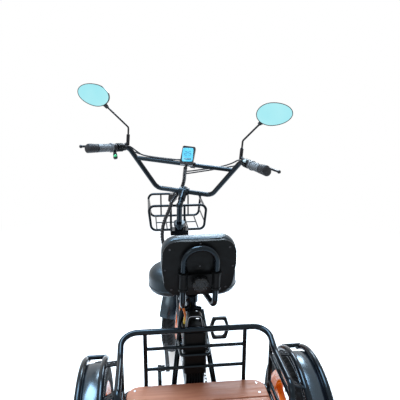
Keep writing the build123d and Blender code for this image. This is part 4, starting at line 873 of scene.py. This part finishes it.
def plate(frame_of, x, y, z, half_wide, half_high, thick, power=8.0, sides=48):
    """Flat plate at (x, y, z) of a face's frame, with rounded corners: |x/a|^n + |y/b|^n = 1, and its top
    edge taken off a little."""
    middle, across, upward, normal = frame_of[:4]
    t = turns(sides)
    wide = powered(np.cos(t), power) * half_wide
    high = powered(np.sin(t), power) * half_high
    spot = middle + x * across + y * upward + z * normal
    rows = ((0.0, 0.0), (0.0, 0.7 * thick), (0.3 * thick, thick))
    grid = np.stack([spot + (wide - np.sign(wide) * cut)[:, None] * across
                     + (high - np.sign(high) * cut)[:, None] * upward + rise * normal for cut, rise in rows])
    return patch(grid)


SCREEN_THICK = 0.0007
MARK_THICK = 0.0003
DIGIT_HALF = 0.0085
DIGIT_WIDE = 0.011
DIGIT_RISE = 0.006
STROKES = ((0.0046, 0.0009), (0.0009, 0.0037))
BARS = 6
BAR_FIRST = -0.0135
BAR_STEP = 0.0054
BAR_DROP = 0.0195
KEY_PLACES = (-0.013, 0.0, 0.013)
# Segments of the digits shown: place across and up in halves of a digit, and whether they stand
DIGITS = {"2": ((0, 1, 0), (0.5, 0.5, 1), (0, 0, 0), (-0.5, -0.5, 1), (0, -1, 0)),
          "5": ((0, 1, 0), (-0.5, 0.5, 1), (0, 0, 0), (0.5, -0.5, 1), (0, -1, 0))}
case = face_of("display", (0.0, -1.0, 0.4))
case_half = case[4]
screen_up = 0.07 * case_half[1]
screen = plate(case, 0.0, screen_up, 0.0, 0.74 * case_half[0], 0.7 * case_half[1], SCREEN_THICK)
add_piece("meter_screen", [screen], screen_look, "steering")
marks = []
for digit, digit_x in (("2", -0.0085), ("5", 0.0085)):
    for x, y, standing in DIGITS[digit]:
        marks.append(plate(case, digit_x + x * DIGIT_WIDE, screen_up + DIGIT_RISE + y * DIGIT_HALF,
                           SCREEN_THICK, *STROKES[standing], MARK_THICK, 4.0, 12))
marks += [plate(case, BAR_FIRST + BAR_STEP * bar, screen_up - BAR_DROP, SCREEN_THICK, 0.0019,
                0.0025 + 0.0005 * bar, MARK_THICK, 6.0, 12) for bar in range(BARS)]
add_piece("meter_digits", marks, digit_look, "steering")
keys = [plate(case, x, -0.83 * case_half[1], 0.0, 0.0052, 0.0028, 0.0014, 4.0, 24)
        for x in KEY_PLACES]
add_piece("meter_keys", keys, soft_rubber, "steering")

# Headlamp: a small box under the bar with a clear lens pressed into its front. Fine upright ribs in the
# lens spread the light.
ribs = ("TexWave", "Fac", (1, 1, 1), {"Scale": 160.0})
lens_look = finish_of(
    "lamp_lens", (ribs, (0.3, 0.6, 0.63, 0.66), (0.7, 0.82, 0.85, 0.88)),
    (noise(60), 0.05, 0.14), (ribs, 0.3, 0.0008), metallic=0.5, coat=1.0)
lamp_face = face_of("headlamp", (0.0, 1.0, 0.0))
lens_wide, lens_high = 0.86 * lamp_face[4][:2]
add_piece("lamp_lens", [plate(lamp_face, 0.0, 0.0, 0.0, lens_wide, lens_high, 0.002, 5.0)], lens_look,
          "steering")

# Wire loom: cables in a spiral-wound black sleeve, from the meter past the stem and down to the main tube.
# Its upper part is laid where the bar stands at rest and the lower along the frame, so it twists beside the
# column.
LOOM_R = 0.0086
LOOM_PITCH = 0.013
LOOM_GROOVE = 0.0018
LOOM_SIDES = 20
METER_LEAD_R = 0.0052
REST_STEER = math.radians(-18.7)
# Places in metres from the middle of the rear axle on the ground: two with the bar straight, one on the frame
LOOM_ON_BAR = ((0.008, 0.780, 1.010), (-0.002, 0.818, 0.978), (-0.010, 0.862, 0.938), (-0.020, 0.870, 0.894),
               (-0.036, 0.836, 0.862), (-0.046, 0.7855, 0.8423), (-0.046, 0.7905, 0.8250))
METER_LEAD = ((0.008, 0.7795, 1.004), (0.011, 0.766, 1.006), (0.015, 0.756, 1.014), (0.017, 0.752, 1.026),
              (0.018, 0.757, 1.038))
LOOM_ON_FRAME = ((-0.070, 0.806, 0.752), (-0.079, 0.808, 0.704), (-0.078, 0.800, 0.654),
                 (-0.060, 0.780, 0.612), (-0.024, 0.7535, 0.582))
axle_foot = np.array((0.0, axle_y, 0.0))
steer_axis = unit(joints["steering"]["axis"])


def steered(points):
    """Points from the axle's foot, turned about the steering axis from straight ahead to rest."""
    pivot = np.array(joints["steering"]["pos_m"])
    away = np.array(points) + axle_foot - pivot
    along = (away @ steer_axis)[:, None] * steer_axis
    c, s = math.cos(REST_STEER), math.sin(REST_STEER)
    return pivot + along + c * (away - along) + s * np.cross(steer_axis, away)


def run_of(path):
    """Length run along a path up to each of its points."""
    return np.concatenate([[0.0], np.cumsum(np.linalg.norm(np.diff(path, axis=0), axis=1))])


def smooth_line(points, step):
    """Equal steps along a spline of order 3 with the given control points, and the length at each."""
    route = bpy.data.curves.new("route", "CURVE")
    route.dimensions = "3D"
    spline = route.splines.new("NURBS")
    spline.points.add(len(points) - 1)
    spline.points.foreach_set("co", np.column_stack([points, np.ones(len(points))]).ravel())
    spline.order_u = 3
    spline.use_endpoint_u = True
    spline.resolution_u = 24
    holder = bpy.data.objects.new("route", route)
    mesh = bpy.data.meshes.new_from_object(holder)
    path = mesh_points(mesh)
    bpy.data.meshes.remove(mesh)
    bpy.data.objects.remove(holder)
    bpy.data.curves.remove(route)
    run = run_of(path)
    at = np.linspace(0, run[-1], int(run[-1] / step) + 1)
    return np.stack([np.interp(at, run, path[:, i]) for i in range(3)], 1), at


on_bar = steered(LOOM_ON_BAR)
loom_path, loom_run = smooth_line(np.concatenate([on_bar, np.array(LOOM_ON_FRAME) + axle_foot]), 0.0013)
wound = (loom_run[:, None] / LOOM_PITCH - np.linspace(0, 1, LOOM_SIDES, endpoint=False)) % 1.0
groove = LOOM_GROOVE * np.clip(4 * np.cos(2 * math.pi * wound) - 2.6, 0, 1)
loom = add_piece("spiral_loom", [tube(loom_path, LOOM_R - groove, LOOM_SIDES)], gloss_plastic, None,
                 ("upper_loom", "lower_loom"), 70.0)
lead_path, _ = smooth_line(steered(METER_LEAD), 0.002)
add_piece("meter_lead", [tube(lead_path, METER_LEAD_R, 14)], soft_rubber, "steering")
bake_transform(loom)

# Battery lead: an orange cable beside the seat tube, with a moulded yellow plug collar where it
# leaves the pack.
lead_rubber = finish_of(
    "orange_lead", (noise(40), (0.3, 0.7, 0.16, 0.015), (0.7, 0.86, 0.23, 0.025)),
    (noise(90), 0.32, 0.5), (noise(500), 0.08, 0.0003))
dress(lead_rubber, "power_lead")
yellow_plug = finish_of(
    "yellow_plug", (noise(60), (0.3, 0.65, 0.42, 0.02), (0.7, 0.8, 0.55, 0.04)),
    (noise(90), 0.32, 0.48), (noise(500), 0.08, 0.0003))
LEAD_FOOT = axle_foot + (-0.026, 0.148, 0.592)
COLLAR_PROFILE = ((0.0, 0.0042), (0.0, 0.0078), (0.012, 0.0078), (0.014, 0.0066), (0.022, 0.0062),
                  (0.022, 0.0042))
add_piece("lead_plug", [lathe(COLLAR_PROFILE, LEAD_FOOT, UP, 24)], yellow_plug, "frame")

# Battery: a moulded black case with a pale line round its handle as a painted rim highlight, and glossy
# panels on its sides. Its left side has a steel lock barrel and a red charge lamp.
# Pale line round the handle: a painted highlight along the handle's rim.
pale_line = finish_of(
    "pale_line", (noise(70), (0.3, 0.44, 0.46, 0.49), (0.7, 0.56, 0.58, 0.6)),
    (noise(90), 0.32, 0.48), (noise(600), 0.06, 0.0002))
red_lamp = finish_of(
    "charge_lamp", (noise(90), (0.3, 0.48, 0.025, 0.012), (0.7, 0.6, 0.035, 0.018)),
    (noise(120), 0.2, 0.32), (noise(700), 0.04, 0.0002), coat=0.5)
HANDLE_HIGHLIGHT_R = 0.0011
HANDLE_HIGHLIGHT_FOOT = (0.004, 0.002)
HANDLE_HIGHLIGHT_TOP = (0.010, -0.003)
HANDLE_HIGHLIGHT_CORNER = 0.012
handle_low, handle_high = np.array(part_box("battery_handle"))
line = np.array(((handle_low[0] + HANDLE_HIGHLIGHT_FOOT[0], handle_low[2] + HANDLE_HIGHLIGHT_FOOT[1]),
                 (handle_low[0] + HANDLE_HIGHLIGHT_TOP[0], handle_high[2] + HANDLE_HIGHLIGHT_TOP[1]),
                 (handle_high[0] - HANDLE_HIGHLIGHT_TOP[0], handle_high[2] + HANDLE_HIGHLIGHT_TOP[1]),
                 (handle_high[0] - HANDLE_HIGHLIGHT_FOOT[0], handle_low[2] + HANDLE_HIGHLIGHT_FOOT[1])))
before, across, after = HANDLE_HIGHLIGHT_CORNER * unit(np.diff(line, axis=0))
t = np.linspace(0, 1, 9)[:, None]
bends = [(1 - t) ** 2 * a + 2 * t * (1 - t) * b + t ** 2 * c
         for a, b, c in ((line[1] - before, line[1], line[1] + across),
                         (line[2] - across, line[2], line[2] + after))]
flat = np.concatenate([line[:1], *bends, line[3:]])
handle_highlight = np.insert(flat, 1, handle_low[1], axis=1)
add_piece("handle_line", [tube(handle_highlight, HANDLE_HIGHLIGHT_R, 8)], pale_line, "frame")
PANEL_PLACE = np.array((0.038, axle_y + 0.124, 0.515))
PANEL_HALF = (0.03, 0.052)
panels = [plate((PANEL_PLACE * (side, 1, 1), np.array((0, side, 0)), UP, np.array((side, 0, 0))),
                0.0, 0.0, 0.0, *PANEL_HALF, 0.0012, 7.0) for side in (-1, 1)]
add_piece("battery_panels", panels, gloss_plastic, "frame")
LEFT = (-1.0, 0.0, 0.0)
LAMP_PROFILE = ((-0.002, 0.0036), (0.0008, 0.0036), (0.002, 0.0028), (0.0026, 0.001))
BARREL_PROFILE = ((-0.003, 0.0095), (0.0015, 0.0095), (0.0025, 0.0085), (0.0025, 0.006), (0.0012, 0.0056),
                  (0.0012, 0.001))
CASE_FRONT = 0.172
LOCK_DOWN = 0.03
LAMP_BEHIND = 0.02
pack_low, pack_high = np.array(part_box("battery_pack"))
lock_at = np.array((pack_low[0], 0.5 * (pack_low[1] + axle_y + CASE_FRONT), pack_high[2] - LOCK_DOWN))
lamp_at = lock_at - (0.0, LAMP_BEHIND, 0.0)
add_piece("charge_lamp", [lathe(LAMP_PROFILE, lamp_at, LEFT, 20)], red_lamp, "frame")
add_piece("battery_lock", [lathe(BARREL_PROFILE, lock_at, LEFT, 32)], bright_steel, "frame")

# Chain: steel roller chain round the chainring and the axle sprocket. Pairs of stamped plates lie outside
# and inside by turns, riveted over rollers.
CHAIN_PITCH = 0.0127
CHAIN_BIG = 0.0803
CHAIN_SMALL = 0.0403
PLATE_HALF = 0.0039
PLATE_THICK = 0.0011
PLATE_OUT = (0.0021, 0.0034)
ROLLER_PROFILE = ((-0.0039, 0.0022), (0.0039, 0.0022))
chain_steel = finish_of(
    "chain_steel", (noise(60, 4), (0.3, 0.13, 0.12, 0.11), (0.7, 0.27, 0.26, 0.24)),
    (noise(140), 0.28, 0.5), (noise(800), 0.1, 0.0003), metallic=0.95)


def arc_of(center, radius, angles):
    """Points (y, z) of an arc through angles about a center."""
    return center + radius * np.stack([np.cos(angles), np.sin(angles)], 1)


crank_at = np.array(joints["crank"]["pos_m"])[1:]
axle_at = np.array(joints["left_rear_wheel"]["pos_m"])[1:]
reach = crank_at - axle_at
facing = math.atan2(reach[1], reach[0])
wrap = math.pi - math.acos((CHAIN_BIG - CHAIN_SMALL) / np.linalg.norm(reach))
big_turn = np.linspace(facing - wrap, facing + wrap, 80)
small_turn = np.linspace(facing + wrap, facing + 2 * math.pi - wrap, 50)
loop = np.concatenate([arc_of(crank_at, CHAIN_BIG, big_turn), arc_of(axle_at, CHAIN_SMALL, small_turn)])
loop = np.concatenate([loop, loop[:1]])
run = run_of(loop)
links = 2 * int(run[-1] / CHAIN_PITCH / 2)
at = np.linspace(0, run[-1], links, endpoint=False)
pins = np.stack([np.interp(at, run, loop[:, 0]), np.interp(at, run, loop[:, 1])], 1)
next_pins = np.roll(pins, -1, 0)
along = unit(next_pins - pins)
normal = np.stack([-along[:, 1], along[:, 0]], 1)
half_gap = np.linalg.norm(next_pins - pins, axis=1).mean() / 2
end = arc_of((half_gap, 0.0), PLATE_HALF, np.linspace(-math.pi / 2, math.pi / 2, 6))
outline = np.concatenate([end, -end])
flat = (pins + next_pins)[:, None] / 2 + outline[:, :1] * along[:, None] + outline[:, 1:] * normal[:, None]
chain_x = np.array(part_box("chain")).mean(0)[0]
chain_shapes = []
for number in range(links):
    for side in (-1, 1):
        plate_x = chain_x + side * PLATE_OUT[number % 2]
        faces = [np.insert(flat[number], 0, plate_x + shift, axis=1)
                 for shift in (-PLATE_THICK / 2, PLATE_THICK / 2)]
        chain_shapes.append(patch(np.stack(faces)))
    chain_shapes.append(lathe(ROLLER_PROFILE, (chain_x, *pins[number]), (1, 0, 0), 8))
add_piece("roller_chain", chain_shapes, chain_steel, "frame", ("chain",))

# Axle nuts: hexagon nuts of plated steel, with washers under them, hold the front axle in
# the fork's ends.
FORK_OUTER = 0.0725
WASHER_PROFILE = ((0.0, 0.0135), (0.002, 0.0135), (0.002, 0.0065))
NUT_PROFILE = ((0.002, 0.0098), (0.0095, 0.0098), (0.0105, 0.0088), (0.0105, 0.0045))
nuts = [lathe(profile, hub_place + FORK_OUTER * out, out, sides) for out in (-hub_axis, hub_axis)
        for profile, sides in ((WASHER_PROFILE, 28), (NUT_PROFILE, 6))]
add_piece("front_axle_nuts", nuts, bright_steel, "steering", sharp=30.0)
